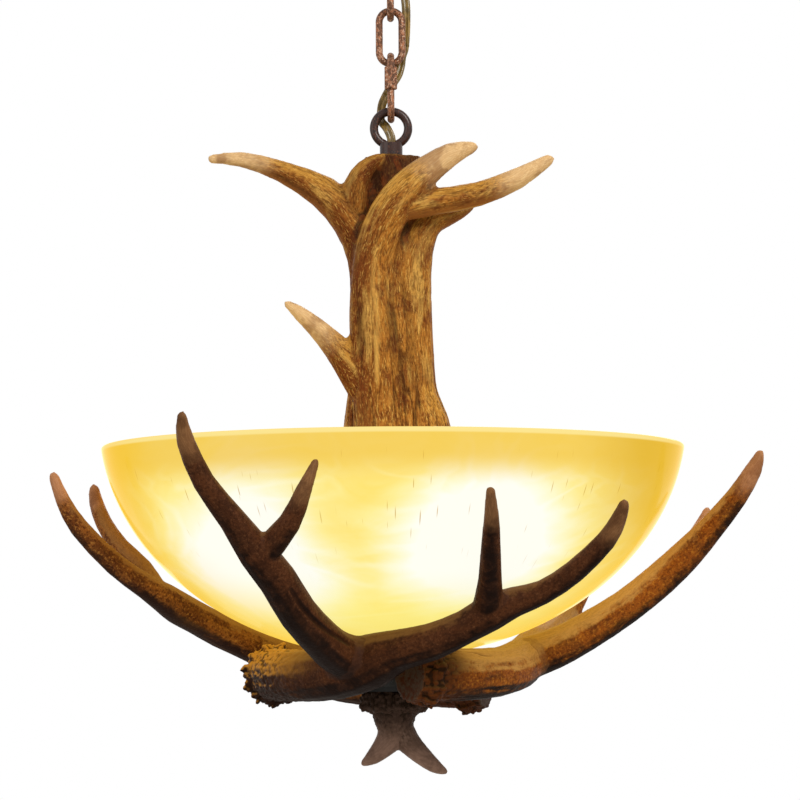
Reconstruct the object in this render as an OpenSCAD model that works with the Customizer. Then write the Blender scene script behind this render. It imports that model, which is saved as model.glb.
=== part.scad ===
// Antler and glass bowl pendant light, hung on a short chain.
// The origin is the middle of the ceiling plane. Z points up and the light hangs below it.

/* [Ceiling mount] */
// Length of the crossbar
crossbar_l = 100; // [96:1:106]
// Width of the crossbar
crossbar_w = 22; // [18:1:28]
// Thickness of the crossbar strap
crossbar_t = 3; // [2:0.5:3.5]
// Depth of the crossbar's dropped middle
crossbar_drop = 8; // [7:0.5:9]
// Distance between the middles of the two screw slots
slot_spacing = 80; // [76:1:82]
// Length of a screw slot, end to end
slot_l = 13; // [8:1:14]
// Width of a screw slot
slot_w = 5.2; // [4:0.1:6]
// Outer diameter of the threaded nipple
nipple_d = 10; // [8:0.5:11]
// Bore of the threaded nipple
nipple_bore = 7.4; // [6:0.2:7.6]
// Width of a nipple lock nut across its flats
nipple_nut_w = 15; // [14:1:18]
// Thickness of a nipple lock nut
nipple_nut_t = 3.5; // [2.5:0.5:4]
// Diameter of the canopy
canopy_d = 124; // [118:1:150]
// Depth of the canopy
canopy_h = 28; // [26:1:34]
// Wall of the canopy
canopy_wall = 1.5; // [1:0.1:2.5]
// Diameter of the threaded body of the screw collar loop
loop_body_d = 32; // [31:0.5:36]
// Height of the threaded body of the screw collar loop
loop_body_h = 18; // [17:0.5:20]
// Outer diameter of the screw collar
collar_d = 42; // [40:1:50]
// Height of the screw collar
collar_h = 5.5; // [4:0.5:6]

/* [Chain] */
// Wire of the two loops
loop_wire = 6; // [5:0.5:7]
// Inner diameter of the two loops
loop_bore = 18; // [18:0.5:22]
// Wire of the chain links and the quick link
link_wire = 5; // [4:0.5:5]
// Outer length of a chain link
link_l = 42.5; // [40:0.5:50]
// Outer width of a chain link
link_w = 21; // [19.5:0.5:24]
// Outer length of the quick link
quick_l = 50; // [48:0.5:60]
// Outer width of the quick link
quick_w = 22; // [21:0.5:26]
// Width of the quick link's sleeve across its flats
sleeve_w = 8.8; // [8:0.2:11]
// Length of the quick link's sleeve
sleeve_l = 16; // [14:0.5:16.5]
// Gap in the quick link that the sleeve closes
quick_gap = 6; // [5.2:0.2:7]
// Slack between two wires that hang in each other
hang_gap = 0.2; // [0.1:0.05:0.3]

/* [Flex] */
// Width of the flat twin flex
flex_w = 6.2; // [5:0.2:6.4]
// Thickness of the flat twin flex
flex_t = 3.2; // [2.4:0.2:3.4]

/* [Stem] */
// Diameter of the loop's neck over the column
neck_d = 16; // [16:0.2:20]
// Diameter of the centre pipe
pipe_d = 13; // [12:0.2:13.2]
// Wall of the centre pipe
pipe_wall = 2; // [1.5:0.25:2.5]
// Length of the centre pipe
pipe_l = 398; // [395:1:404]
// Height of the antler column
column_h = 212; // [205:1:216]
// Diameter of the hole down the column
column_bore = 14; // [13.8:0.1:16]
// Diameter of the washer under the column
column_washer_d = 44; // [36:1:60]

/* [Sockets and bulbs] */
// Diameter of the socket cluster body
cluster_d = 52; // [50:1:58]
// Height of the socket cluster body
cluster_h = 46; // [44:1:50]
// Wall of the socket cluster body
cluster_wall = 2.5; // [2:0.25:4]
// Diameter of a lamp holder
holder_d = 38; // [34:1:40]
// Length of a lamp holder
holder_l = 42; // [40:1:46]
// Diameter of a bulb's cap
cap_d = 26.6; // [26:0.1:27]
// Length of a bulb's cap
cap_l = 24; // [20:1:25]
// Diameter of a bulb's glass
bulb_d = 60; // [45:1:62]
// Length of a bulb's glass past its cap
bulb_l = 84; // [70:1:86]
// Thickness of a bulb's glass
bulb_wall = 1; // [0.6:0.1:1.5]

/* [Glass bowl] */
// Outer diameter of the bowl's ellipsoid at its widest
bowl_d = 409; // [404:1:420]
// Half height of the bowl's ellipsoid
bowl_half_h = 166; // [162:1:175]
// How far the rim lies below the widest place of the ellipsoid
bowl_rim_drop = 21.5; // [5:0.5:30]
// Thickness of the glass
bowl_wall = 4; // [3:0.25:5]
// Diameter of the bowl's flat foot
bowl_foot_d = 50; // [46:1:56]
// Thickness of a gasket
gasket_t = 3; // [2:0.5:3]

/* [Hub and antlers] */
// Diameter of the hub cup
hub_d = 120; // [116:1:122]
// Height of the hub cup
hub_h = 18; // [17:0.5:22]
// Wall of the hub cup
hub_wall = 3; // [2:0.25:4]
// Thickness of the hub's cover
cover_t = 3.5; // [2:0.5:5]
// Turn of the right antler round the hub, from its even place
right_turn = -4; // [-5:0.5:3]
// Turn of the left antler round the hub, from its even place
left_turn = 3; // [-3:0.5:5]
// Roll of the left antler on its seat
left_roll = 4.5; // [0:0.5:5]
// Shank diameter of an antler screw
screw_d = 5; // [4:0.5:6]
// Length of an antler screw's shank
screw_l = 20; // [16:1:22]
// Diameter of the finial's burr
finial_burr_d = 50; // [44:1:56]
// Length of the finial
finial_l = 60; // [56:1:70]
// Outer diameter of the finial's threaded insert
insert_d = 18; // [16:0.5:20]
// Length of the finial's threaded insert
insert_l = 16; // [12:1:18]

/* [Hidden] */

$fn = 48;

// Clearances
seat_gap = 0.3;
thread_gap = 0.08;
hole_gap = 0.5;

// Colours
dark_bronze = [0.23, 0.15, 0.13];
rusty_copper = [0.70, 0.49, 0.38];
steel = [0.62, 0.62, 0.60];
dark_steel = [0.26, 0.26, 0.27];
brass = [0.78, 0.62, 0.32];
antler_brown = [0.47, 0.31, 0.17];
rubber_black = [0.08, 0.08, 0.08];

// Heights down the ceiling mount
bar_low = -crossbar_drop - crossbar_t;
loop_body_top = bar_low - nipple_nut_t - 1;
loop_body_low = loop_body_top - loop_body_h;
nipple_top = -crossbar_drop + nipple_nut_t + 1;
nipple_low = loop_body_top - loop_body_h * 0.7;
collar_top = -canopy_h;

// Heights down the chain, each at the middle of a wire
loop_r = (loop_bore + loop_wire) / 2;
hook_step = (loop_wire + link_wire) / 2 + hang_gap;
link_step = link_wire + hang_gap;
ring_1 = loop_body_low - loop_r - loop_wire / 2 + 1.3;
top_link_top = ring_1 - loop_r + hook_step;
top_link_low = top_link_top - link_l + link_wire;
middle_link_top = top_link_low + link_step;
middle_link_low = middle_link_top - link_l + link_wire;
quick_top = middle_link_low + link_step;
quick_low = quick_top - quick_l + link_wire;
ring_2 = quick_low + hook_step - loop_r;

// The sleeve of the quick link starts where its straight side starts
quick_r = (quick_w - link_wire) / 2;
sleeve_top = quick_top - quick_r - 0.5;
quick_gap_top = sleeve_top - (sleeve_l - quick_gap) / 2;

// Heights down the light
neck_low = ring_2 - loop_r - 7.6;
pipe_top = ring_2 - loop_r - 1.6;
pipe_low = pipe_top - pipe_l;
column_top = neck_low;
column_low = column_top - column_h;
washer_t = 3;
cluster_top = column_low - washer_t;
cluster_low = cluster_top - cluster_h;
holder_z = cluster_top - cluster_h * 0.59;
insert_low = pipe_low + 1;
cover_low = insert_low + insert_l + seat_gap;
hub_low = cover_low + cover_t;
hub_top = hub_low + hub_h;
hub_mid = hub_low + hub_h / 2;
foot_z = hub_top + gasket_t;
pipe_r = pipe_d / 2;

// The glass: heights of the ellipsoid's middle and of the rim
foot_share = sqrt(1 - pow(bowl_foot_d / bowl_d, 2));
bowl_mid = foot_z + bowl_half_h * foot_share;
rim_z = bowl_mid - bowl_rim_drop;
clamp_washer_t = 1.5;
clamp_nut_t = 6;

// Angles of the three antlers and the three lamp holders
antler_angles = [0, 120, -120];
antler_turns = [0, right_turn, left_turn];
antler_rolls = [0, 0, -left_roll];
holder_angles = [210, 330, 90];
screw_angles = [200, 216];

// Casting of one antler, as [x, y, height over the hub's middle, radius].
// Its main beam runs from the sawn end, past the hub, to the tip of the right arm.
beam = [[-85, 30, -1, 19], [-82, 8, -1, 18.5], [-76, -18, -1, 17.8], [-60, -50, -1.5, 17.8],
  [-36, -79, 1, 18.3], [-15, -97, 8, 18.8], [3, -110, 15, 14.3], [25, -124, 20.5, 12.8],
  [48, -129, 30.5, 11.5], [64, -133, 39.5, 12.5], [80, -135, 46.5, 10.2], [98, -138, 52.5, 8.2],
  [118, -148, 65.5, 7.6], [138, -162, 85, 6.8], [146, -171, 99, 5.2], [149, -178, 108, 3.5]];
left_arm = [[-24, -90, 9, 16], [-37, -106, 14, 14.8], [-47, -125, 22.5, 13.5],
  [-62, -150, 39.5, 13.3], [-74, -171, 60, 13], [-88, -186, 78, 12], [-102, -198, 98, 9.2],
  [-120, -208, 122, 7.5], [-131, -217, 147.5, 6], [-133, -222, 163.5, 3]];
left_tine = [[-84, -184, 76, 10], [-66, -198, 96, 7.5], [-57, -201, 116, 5.5],
  [-49, -200, 135, 2.5]];
right_tine = [[62, -134, 41.5, 11], [63, -155, 60, 8], [63, -180, 82, 6.5], [63, -197, 100, 5],
  [62, -212, 115.5, 3]];
burr = [-84, 18, -1];
burr_heading = [-0.05, 1, 0];
burr_r = 20.5;

// The right antler's left arm rises sooner and ends lower, and its tine lies behind the arm
low_left_arm = [[-21, -90, 9, 16], [-36, -106, 16, 14.5], [-47, -125, 27, 13.5],
  [-62, -150, 45, 12.4], [-74, -171, 64, 12], [-88, -186, 82.5, 11], [-102, -197, 100, 9],
  [-120, -206, 120, 7.5], [-130, -214, 139, 6], [-132, -218, 150, 3]];
low_left_tine = [[-84, -184, 79, 9.5], [-74, -199, 90.5, 7.5], [-65, -211, 102, 5.6],
  [-58, -220, 114, 2.8]];

// The right antler's right arm rises sooner too and swings further out
outer_beam = [for (i = [0 : 2]) beam[i], [-60, -50, 0.5, 17.3], [-37, -77, 5, 17.3],
  [-15, -96, 10, 16], [3, -113, 18, 14.5], [22, -133, 25, 13], [42, -151, 32, 12.5],
  [60, -168, 41, 12.5], [78, -182, 50, 10.5], [98, -188, 62, 8.5], [118, -190, 76, 7.6],
  [138, -192, 94, 6.8], [146, -193, 106, 5.2], [149, -194, 114, 3.5]];
outer_right_tine = [[58, -168, 43, 11], [62, -184, 62, 8], [63, -196, 84, 6.5], [63, -206, 102, 5],
  [62, -214, 118, 3]];

// The left antler's right arm is slimmer, spreads wider and ends higher, and forks further out
wide_beam = [for (i = [0 : 3]) beam[i], [-37, -78, 3, 17], [-15, -96, 11, 15.5],
  [3, -111, 20, 12.8], [25, -126, 28.5, 12], [48, -132, 35.5, 11.6], [65, -137, 41, 11.8],
  [82, -139, 46.5, 10.6], [101, -143, 53, 8.8],
  [122, -155, 66, 7.8], [144, -171, 89, 6.8], [152, -180, 107, 5.2], [156, -186, 123.5, 3.5]];
wide_right_tine = [[92, -141, 50, 9.5], [88, -155, 66, 8.6], [80, -178, 83, 7.3],
  [73, -196, 101, 6.2], [69, -206, 117, 5.2], [66, -210, 127, 3.6]];

// Strands and tines of the column, as [x, y, height over its foot, radius]
front_strand = [[-6, -14, -6, 20], [-8, -15, 20, 19], [-10, -15, 42, 18.5], [-12, -16, 82, 17.5],
  [-14, -16, 117, 15], [-11, -18, 145, 14.5], [-2, -21, 168, 14], [12, -22, 186, 13],
  [26, -22, 199, 10.5], [43, -24, 210, 8], [57, -26, 214, 4]];
right_top_tine = [[10, -21, 174, 11], [32, -20, 177, 9.5], [60, -18, 182, 8.5], [88, -18, 193, 7.5],
  [110, -20, 206, 4]];
low_tine = [[-14, -13, 46, 17], [-26, -13, 61, 14], [-40, -14, 77, 9.5], [-53, -16, 90, 7],
  [-65, -18, 100, 5], [-73, -19, 106, 2.5]];
left_strand = [[-14, 8, -6, 20], [-15, 8, 20, 20], [-16, 8, 62, 14], [-16, 6, 112, 13.5],
  [-18, 2, 140, 13.5], [-28, -2, 166, 14], [-48, -4, 186.5, 11.8], [-77, -6, 201, 7.4],
  [-105, -8, 209, 5.4], [-126, -10, 209, 3]];
small_tine = [[-27, -4, 170, 11], [-25, -8, 189, 9], [-18, -10, 202, 7], [-9, -11, 209, 4]];
right_strand = [[22, 4, -6, 21], [22, 4, 8, 21], [19, 4, 24, 20.5], [14, 4, 42, 18.5], [12, 4, 62, 18],
  [11, 4, 112, 17], [14, 4, 147, 16], [24, 4, 166, 13], [38, 8, 172, 9.5], [49, 13, 176, 6.5],
  [56, 18, 179, 3.5]];
crown = [[6, 6, 150, 15], [8, 8, 172, 18], [6, 8, 197, 18], [6, 7, 216, 16]];

// Casting between the strands: the trunk that fuses them, and the floor of the top left hollow
trunk = [[5, -4, -6, 20], [4, -5, 30, 19], [1, -6, 62, 18], [-1, -6, 95, 16.5], [-1, -6, 125, 13.5],
  [1, -7, 146, 10]];
hollow_floor = [[-10, 4, 140, 13], [-11, 6, 170, 13], [-11, 7, 195, 12], [-9, 7, 213, 10]];

// Finial, as [x, y, depth below the cover, radius]
finial_stem = [[0, 0, -0.3, 21], [0, 0, -6, 22], [0, 0, -13, 17], [-0.5, 0, -24, 13.2],
  [-2.5, 0, -32, 10.2], [-9, 0, -40, 7.4], [-15.5, 0, -46, 5.2], [-21, 0, -49.5, 2.6]];
finial_tine = [[3, 0, -26, 11], [10, 0, -35.5, 8.5], [19, 0, -44.5, 6.8], [28, 0, -52, 5],
  [34.5, 0, -55.5, 2.6]];

// Route of the flex, from the canopy loop through the links to the fixture loop
flex_route = [[0, 0, -36], [0, 0, -40], [3, 2, -46], [7, 5, -53], [9, 7, -61], [10, 7, -72],
  [11, 6, -82], [11, 6, -95], [10, 6, -110], [8, 6, -117], [7, 6, -124], [5, 4, -131],
  [1, 1, -138], [-3, 2, -145], [-6, 5, -151], [-7, 7, -157], [-7, 6, -163], [-3, 1, -169],
  [0, 0, -176], [0, 0, -182], [0, 0, -186]];
flex_steps = 3;
flex_breaks = [0, 5, 8, 13, 20];

// Curves and sweeps

function unit(v) = v / norm(v);
function xyz(p) = [p.x, p.y, p.z];

// A point of the smooth curve through b and c, where t runs from 0 at b to 1 at c
function between(a, b, c, d, t) =
  0.5 * (2 * b + (c - a) * t + (2 * a - 5 * b + 4 * c - d) * t * t
  + (3 * b - a - 3 * c + d) * t * t * t);

function smooth(path, steps) = [
  for (i = [0 : len(path) - 2], k = [0 : steps - 1])
    between(path[max(i - 1, 0)], path[i], path[i + 1], path[min(i + 2, len(path) - 1)], k / steps),
  path[len(path) - 1]];

function headings(path) = [
  for (i = [0 : len(path) - 1])
    unit(xyz(path[min(i + 1, len(path) - 1)]) - xyz(path[max(i - 1, 0)]))];

// Carries one side direction along the path without twist
function square_to(side, heading) = unit(side - (side * heading) * heading);
function carried(along, first) = [
  for (i = 0, side = square_to(first, along[0]); i < len(along);
    i = i + 1, side = i < len(along) ? square_to(side, along[i]) : side) side];

function ring(p, heading, side, count, wide, thick) = [
  for (k = [0 : count - 1]) let (a = 360 * k / count)
    xyz(p) + wide * cos(a) * side + thick * sin(a) * cross(heading, side)];

module skin(rings) {
  count = len(rings[0]);
  last = len(rings) - 1;
  polyhedron(
    points = [for (r = rings) each r],
    faces = [
      [for (k = [0 : count - 1]) k],
      [for (k = [count - 1 : -1 : 0]) last * count + k],
      for (i = [0 : last - 1], k = [0 : count - 1]) let (
        a = i * count + k,
        b = i * count + (k + 1) % count)
        each [[a, a + count, b], [b, a + count, b + count]]]);
}

// A branch of antler through stations of [x, y, z, radius], with a rounded tip
module branch(stations, count = 12, steps = 2) {
  path = smooth(stations, steps);
  along = headings(path);
  last = len(path) - 1;
  sides = carried(along, abs(along[0].z) > 0.7 ? [1, 0, 0] : [0, 0, 1]);
  tip = path[last];
  tip_ring = [for (p = ring(tip, along[last], sides[last], count, tip[3] * 0.45, tip[3] * 0.45))
    p + along[last] * tip[3] * 0.8];
  skin([
    for (i = [0 : last]) ring(path[i], along[i], sides[i], count, path[i][3], path[i][3]),
    tip_ring]);
}

// The knobbly ring at the foot of an antler, with its pearls
module pearled_burr(middle, heading, r, pearls, pearl_r) {
  side = square_to([0.3, 0.2, 1], unit(heading));
  up = cross(unit(heading), side);
  skin([for (s = [[-7, 0.86], [-4, 1], [4, 1], [7, 0.84]])
    ring(middle + s[0] * unit(heading), unit(heading), side, 16, r * s[1], r * s[1])]);
  for (k = [0 : pearls - 1]) {
    a = 360 * k / pearls;
    out = cos(a) * side + sin(a) * up;
    lean = 2 + (k % 3);
    hull() {
      translate(middle + out * (r - 0.6) - unit(heading) * lean) sphere(r = pearl_r, $fn = 6);
      translate(middle + out * (r - 1.2) + unit(heading) * (6 - lean)) sphere(r = pearl_r, $fn = 6);
    }
  }
}

// Ceiling mount

module nut(width, bore_d, thickness) {
  difference() {
    cylinder(d = width / cos(30), h = thickness, $fn = 6);
    translate([0, 0, -1]) cylinder(d = bore_d, h = thickness + 2);
  }
}

module slot(length, width, depth) {
  for (side = [-1, 1])
    translate([side * (length - width) / 2, 0, 0]) cylinder(d = width, h = depth);
  translate([-(length - width) / 2, -width / 2, 0]) cube([length - width, width, depth]);
}

module crossbar() {
  flat = 17;
  slope = 10;
  half = crossbar_l / 2;
  t = crossbar_t;
  d = crossbar_drop;
  color(steel) difference() {
    translate([0, crossbar_w / 2, 0]) rotate([90, 0, 0]) linear_extrude(crossbar_w) polygon([
      [-half, 0], [-flat - slope + 1, 0], [-flat + 1, -d], [flat - 1, -d], [flat + slope - 1, 0],
      [half, 0], [half, -t], [flat + slope, -t], [flat, -d - t], [-flat, -d - t],
      [-flat - slope, -t], [-half, -t]]);
    translate([0, 0, bar_low - 1]) cylinder(d = nipple_d + 0.2, h = 20);
    for (side = [-1, 1])
      translate([side * slot_spacing / 2, 0, -t - 1]) slot(slot_l, slot_w, t + 2);
    translate([flat - 5, 6, bar_low - 1]) cylinder(d = 4, h = 20);
  }
}

module nipple() {
  color(brass) translate([0, 0, nipple_low]) difference() {
    cylinder(d = nipple_d, h = nipple_top - nipple_low);
    translate([0, 0, -1]) cylinder(d = nipple_bore, h = nipple_top - nipple_low + 2);
  }
}

module nipple_nuts() {
  color(brass) {
    translate([0, 0, -crossbar_drop]) nut(nipple_nut_w, nipple_d + 0.1, nipple_nut_t);
    translate([0, 0, bar_low - nipple_nut_t]) nut(nipple_nut_w, nipple_d + 0.1, nipple_nut_t);
  }
}

module ground_screw() {
  color([0.25, 0.5, 0.3]) translate([12, 6, bar_low - 2.4]) {
    difference() {
      cylinder(d = 7, h = 2.4);
      translate([-4, -0.6, -1]) cube([8, 1.2, 2]);
    }
    cylinder(d = 3.8, h = 2.4 + crossbar_t + 3);
  }
}

// The profile of the canopy's outside, or of its inside where inset is the wall
function canopy_curve(inset) = [
  for (a = [0 : 10 : 90])
    [loop_body_d / 2 + 5 + (canopy_d / 2 - loop_body_d / 2 - 5 - inset) * pow(cos(a), 0.8),
    -5 - (canopy_h - 5 - inset) * pow(sin(a), 0.9)]];

module canopy() {
  hole_r = loop_body_d / 2 + seat_gap;
  inside = canopy_curve(canopy_wall);
  color(dark_bronze) rotate_extrude($fn = 96) polygon([
    [canopy_d / 2, 0], each canopy_curve(0), [hole_r, -canopy_h], [hole_r, -canopy_h + canopy_wall],
    for (i = [len(inside) - 1 : -1 : 0]) inside[i], [canopy_d / 2 - canopy_wall, 0]]);
}

module screw_collar() {
  notches = 18;
  color(dark_bronze) translate([0, 0, collar_top - collar_h]) difference() {
    cylinder(d = collar_d, h = collar_h);
    translate([0, 0, -1]) cylinder(d = loop_body_d + 2 * thread_gap, h = collar_h + 2);
    for (k = [0 : notches - 1])
      rotate(k * 360 / notches) translate([collar_d / 2 + 0.4, 0, -1]) cylinder(d = 2.4, h = collar_h + 2);
  }
}

// A round loop of wire in the XZ plane
module wire_ring(middle_r, wire) {
  rotate([90, 0, 0]) rotate_extrude() translate([middle_r, 0]) circle(d = wire);
}

module canopy_loop() {
  color(dark_bronze) difference() {
    union() {
      translate([0, 0, loop_body_low]) cylinder(d = loop_body_d, h = loop_body_h);
      translate([0, 0, loop_body_low - 5]) cylinder(d = neck_d, h = 6);
      translate([0, 0, ring_1]) wire_ring(loop_r, loop_wire);
    }
    translate([0, 0, nipple_low]) cylinder(d = nipple_d + 2 * thread_gap, h = 40);
    translate([0, 0, ring_1 + loop_r - 5]) cylinder(d = flex_w + 2 * hole_gap, h = 40);
  }
}

// Chain

// An oval link in the XZ plane, with its ends' wires centred at top and low
module oval_link(top, low, width, wire) {
  end_r = (width - wire) / 2;
  for (side = [-1, 1])
    translate([side * end_r, 0, low + end_r]) cylinder(d = wire, h = top - low - 2 * end_r);
  translate([0, 0, top - end_r]) rotate([90, 0, 0])
    rotate_extrude(angle = 180) translate([end_r, 0]) circle(d = wire);
  translate([0, 0, low + end_r]) rotate([90, 180, 0])
    rotate_extrude(angle = 180) translate([end_r, 0]) circle(d = wire);
}

module top_link() {
  color(rusty_copper) rotate(90) oval_link(top_link_top, top_link_low, link_w, link_wire);
}

module middle_link() {
  color(rusty_copper) oval_link(middle_link_top, middle_link_low, link_w, link_wire);
}

module quick_link() {
  color(rusty_copper) rotate(90) difference() {
    oval_link(quick_top, quick_low, quick_w, link_wire);
    translate([-quick_r - 5, -5, quick_gap_top - quick_gap]) cube([10, 10, quick_gap]);
  }
}

module quick_link_sleeve() {
  color(rusty_copper) translate([0, -quick_r, sleeve_top - sleeve_l]) difference() {
    intersection() {
      rotate(30) cylinder(d = sleeve_w / cos(30), h = sleeve_l, $fn = 6);
      rotate_extrude() polygon([[0, 0], [sleeve_w / 2 - 0.4, 0], [sleeve_w / 2 + 0.7, 1.2],
        [sleeve_w / 2 + 0.7, sleeve_l - 1.2], [sleeve_w / 2 - 0.4, sleeve_l], [0, sleeve_l]]);
    }
    translate([0, 0, -1]) cylinder(d = link_wire + 2 * thread_gap, h = sleeve_l + 2);
  }
}

// Flex: one sweep of the whole route, cut into a stretch for each pair of links

flex_path = smooth(flex_route, flex_steps);
flex_headings = headings(flex_path);
flex_sides = carried(flex_headings, [1, 0, 0]);

module flex_stretch(k) {
  color([0.66, 0.50, 0.28]) skin([
    for (i = [flex_breaks[k] * flex_steps : flex_breaks[k + 1] * flex_steps])
      ring(flex_path[i], flex_headings[i], flex_sides[i], 8, flex_w / 2, flex_t / 2)]);
}

// Stem

module fixture_loop() {
  color(dark_bronze) difference() {
    union() {
      translate([0, 0, ring_2]) wire_ring(loop_r, loop_wire);
      translate([0, 0, neck_low]) cylinder(d = neck_d, h = 9);
    }
    translate([0, 0, neck_low - 1]) cylinder(d = pipe_d + 2 * thread_gap, h = pipe_top - neck_low + 1);
    translate([0, 0, neck_low]) cylinder(d = flex_w + 2 * hole_gap, h = ring_2 - loop_r + 5 - neck_low);
  }
}

module centre_pipe() {
  color(steel) difference() {
    translate([0, 0, pipe_low]) cylinder(d = pipe_d, h = pipe_l);
    translate([0, 0, pipe_low - 1]) cylinder(d = pipe_d - 2 * pipe_wall, h = pipe_l + 2);
    for (a = holder_angles)
      translate([0, 0, holder_z]) rotate([0, 90, a]) cylinder(d = 5, h = pipe_d);
  }
}

// Stations of the column, from heights over its foot to heights in the light
function on_column(stations) = [for (p = stations) [p.x, p.y, column_low + p.z * column_h / 212, p[3]]];

module antler_column() {
  color(antler_brown) difference() {
    union() {
      for (s = [front_strand, left_strand, right_strand, trunk]) branch(on_column(s), 14);
      for (s = [right_top_tine, low_tine, small_tine, crown, hollow_floor])
        branch(on_column(s), 12);
      translate([0, 0, column_low]) cylinder(d = 24, h = column_h, $fn = 20);
    }
    translate([-100, -100, column_low - 40]) cube([200, 200, 40]);
    translate([-30, -17, column_top]) cube([60, 60, 20]);
    translate([0, 0, column_low - 1]) cylinder(d = column_bore, h = column_h + 2, $fn = 36);
  }
}

module column_washer() {
  color(steel) translate([0, 0, cluster_top]) difference() {
    cylinder(d = column_washer_d, h = washer_t);
    translate([0, 0, -1]) cylinder(d = pipe_d + 2 * hole_gap, h = washer_t + 2);
  }
}

// Sockets and bulbs

module socket_cluster() {
  r = cluster_d / 2;
  color(steel) translate([0, 0, cluster_low]) difference() {
    cylinder(r = r, h = cluster_h);
    translate([0, 0, -1]) cylinder(r = r - cluster_wall, h = cluster_h - cluster_wall + 1);
    cylinder(d = pipe_d + 2 * hole_gap, h = cluster_h + 1);
    for (a = holder_angles)
      translate([0, 0, holder_z - cluster_low]) rotate([0, 90, a]) cylinder(d = 10.2, h = r + 5);
  }
}

module cluster_cover() {
  color(steel) translate([0, 0, cluster_low - 2]) difference() {
    cylinder(d = cluster_d, h = 2);
    translate([0, 0, -1]) cylinder(d = pipe_d + 2 * hole_gap, h = 4);
  }
}

module cluster_nut() {
  color(brass) translate([0, 0, cluster_low - 2 - 5]) nut(20, pipe_d + 2 * thread_gap, 5);
}

// Turns a piece that is drawn along Z into the place of one lamp holder
module at_holder(k) {
  translate([0, 0, holder_z]) rotate([0, 90, holder_angles[k]])
    translate([0, 0, cluster_d / 2]) children();
}

cap_start = holder_l - cap_l - 1;

// A holder has a spigot into the cluster, a domed back and a skirt with a grip ring
module lamp_holder(k) {
  r = holder_d / 2;
  color([0.9, 0.88, 0.82]) at_holder(k) difference() {
    rotate_extrude() polygon([[0, -cluster_wall], [5, -cluster_wall], [5, 1], [10, 1], [r - 3, 6],
      [r - 1, 10], [r - 1, 15], [r, 16], [r, 21], [r - 1, 22], [r - 1.5, holder_l], [0, holder_l]]);
    translate([0, 0, cap_start - seat_gap]) cylinder(d = cap_d + 2 * thread_gap, h = holder_l);
    translate([0, 0, -10]) cylinder(d = 4, h = 40);
  }
}

module bulb_cap(k) {
  r = cap_d / 2;
  color(steel) at_holder(k) translate([0, 0, cap_start]) rotate_extrude() polygon([
    [0, 0], [4, 0], [6, 1.5], [10, 3.5], [r, 6], [r, cap_l], [r - 1, cap_l], [r - 1, 7], [0, 3]]);
}

// The bulb's outline, or its inside where inset is the wall: a neck that swells into a ball
function bulb_outline(inset) = let (
  ball = bulb_d / 2 - inset,
  neck = cap_d / 2 - 1.3 - inset,
  shoulder = bulb_l - bulb_d / 2)
  [[neck, -cap_l / 2], [neck, 2],
  for (t = [0.1 : 0.1 : 0.9])
    [neck + (ball - neck) * (1 - cos(180 * t)) / 2, 2 + (shoulder - 2) * t],
  for (a = [0 : 10 : 90]) [ball * cos(a), shoulder + ball * sin(a)]];

module bulb_glass(k) {
  inside = bulb_outline(bulb_wall);
  color([1, 0.95, 0.8]) at_holder(k) translate([0, 0, cap_start + cap_l]) rotate_extrude() polygon([
    each bulb_outline(0), for (i = [len(inside) - 1 : -1 : 0]) inside[i]]);
}

// Glass bowl

// Half of an ellipse from the foot to the rim, grown by inset inwards
function bowl_curve(inset) = let (
  wide = bowl_d / 2 - inset,
  high = bowl_half_h - inset,
  foot = bowl_foot_d / 2,
  from = acos(foot / wide),
  to = asin(bowl_rim_drop / high),
  steps = 28)
  [for (i = [0 : steps]) let (a = from + (to - from) * i / steps)
    [wide * cos(a), bowl_mid - high * sin(a)]];

module glass_bowl() {
  outside = bowl_curve(0);
  inside = bowl_curve(bowl_wall);
  rim = outside[len(outside) - 1];
  rim_r = bowl_wall / 2;
  hole_r = pipe_r + 1.5;
  color([0.98, 0.78, 0.30]) rotate_extrude($fn = 96) polygon([
    [hole_r, foot_z], each outside,
    for (a = [30 : 30 : 150]) [rim.x - rim_r + rim_r * cos(a), rim_z + rim_r * sin(a)],
    for (i = [len(inside) - 1 : -1 : 0]) inside[i], [hole_r, inside[0].y]]);
}

module ring_disc(outer_d, bore_d, thickness) {
  difference() {
    cylinder(d = outer_d, h = thickness);
    translate([0, 0, -1]) cylinder(d = bore_d, h = thickness + 2);
  }
}

inner_floor = bowl_curve(bowl_wall)[0].y;

module upper_gasket() {
  color(rubber_black) translate([0, 0, inner_floor])
    ring_disc(bowl_foot_d - 8, pipe_d + 2 * hole_gap, gasket_t);
}

module clamp_washer() {
  color(steel) translate([0, 0, inner_floor + gasket_t])
    ring_disc(bowl_foot_d - 10, pipe_d + 2 * hole_gap, clamp_washer_t);
}

module clamp_nut() {
  color(brass) translate([0, 0, inner_floor + gasket_t + clamp_washer_t])
    nut(20, pipe_d + 2 * thread_gap, clamp_nut_t);
}

module lower_gasket() {
  color(rubber_black) translate([0, 0, hub_top])
    ring_disc(bowl_foot_d - 2, pipe_d + 2 * hole_gap, gasket_t);
}

// Hub

module hub_cup() {
  r = hub_d / 2;
  color(dark_steel) translate([0, 0, hub_low]) difference() {
    cylinder(r = r, h = hub_h);
    translate([0, 0, -1]) cylinder(r = r - hub_wall, h = hub_h - hub_wall + 1);
    cylinder(d = pipe_d + 2 * hole_gap, h = hub_h + 1);
    for (a = antler_angles, s = screw_angles)
      translate([0, 0, hub_h / 2]) rotate([0, 90, a + s])
        translate([0, 0, r - hub_wall - 2]) cylinder(d = screw_d + 2 * hole_gap, h = hub_wall + 4);
  }
}

module hub_nut() {
  color(brass) translate([0, 0, hub_top - hub_wall - 6]) nut(20, pipe_d + 2 * thread_gap, 6);
}

module hub_cover() {
  color([0.12, 0.12, 0.12]) translate([0, 0, cover_low])
    ring_disc(hub_d, pipe_d + 2 * hole_gap, cover_t);
}

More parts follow.
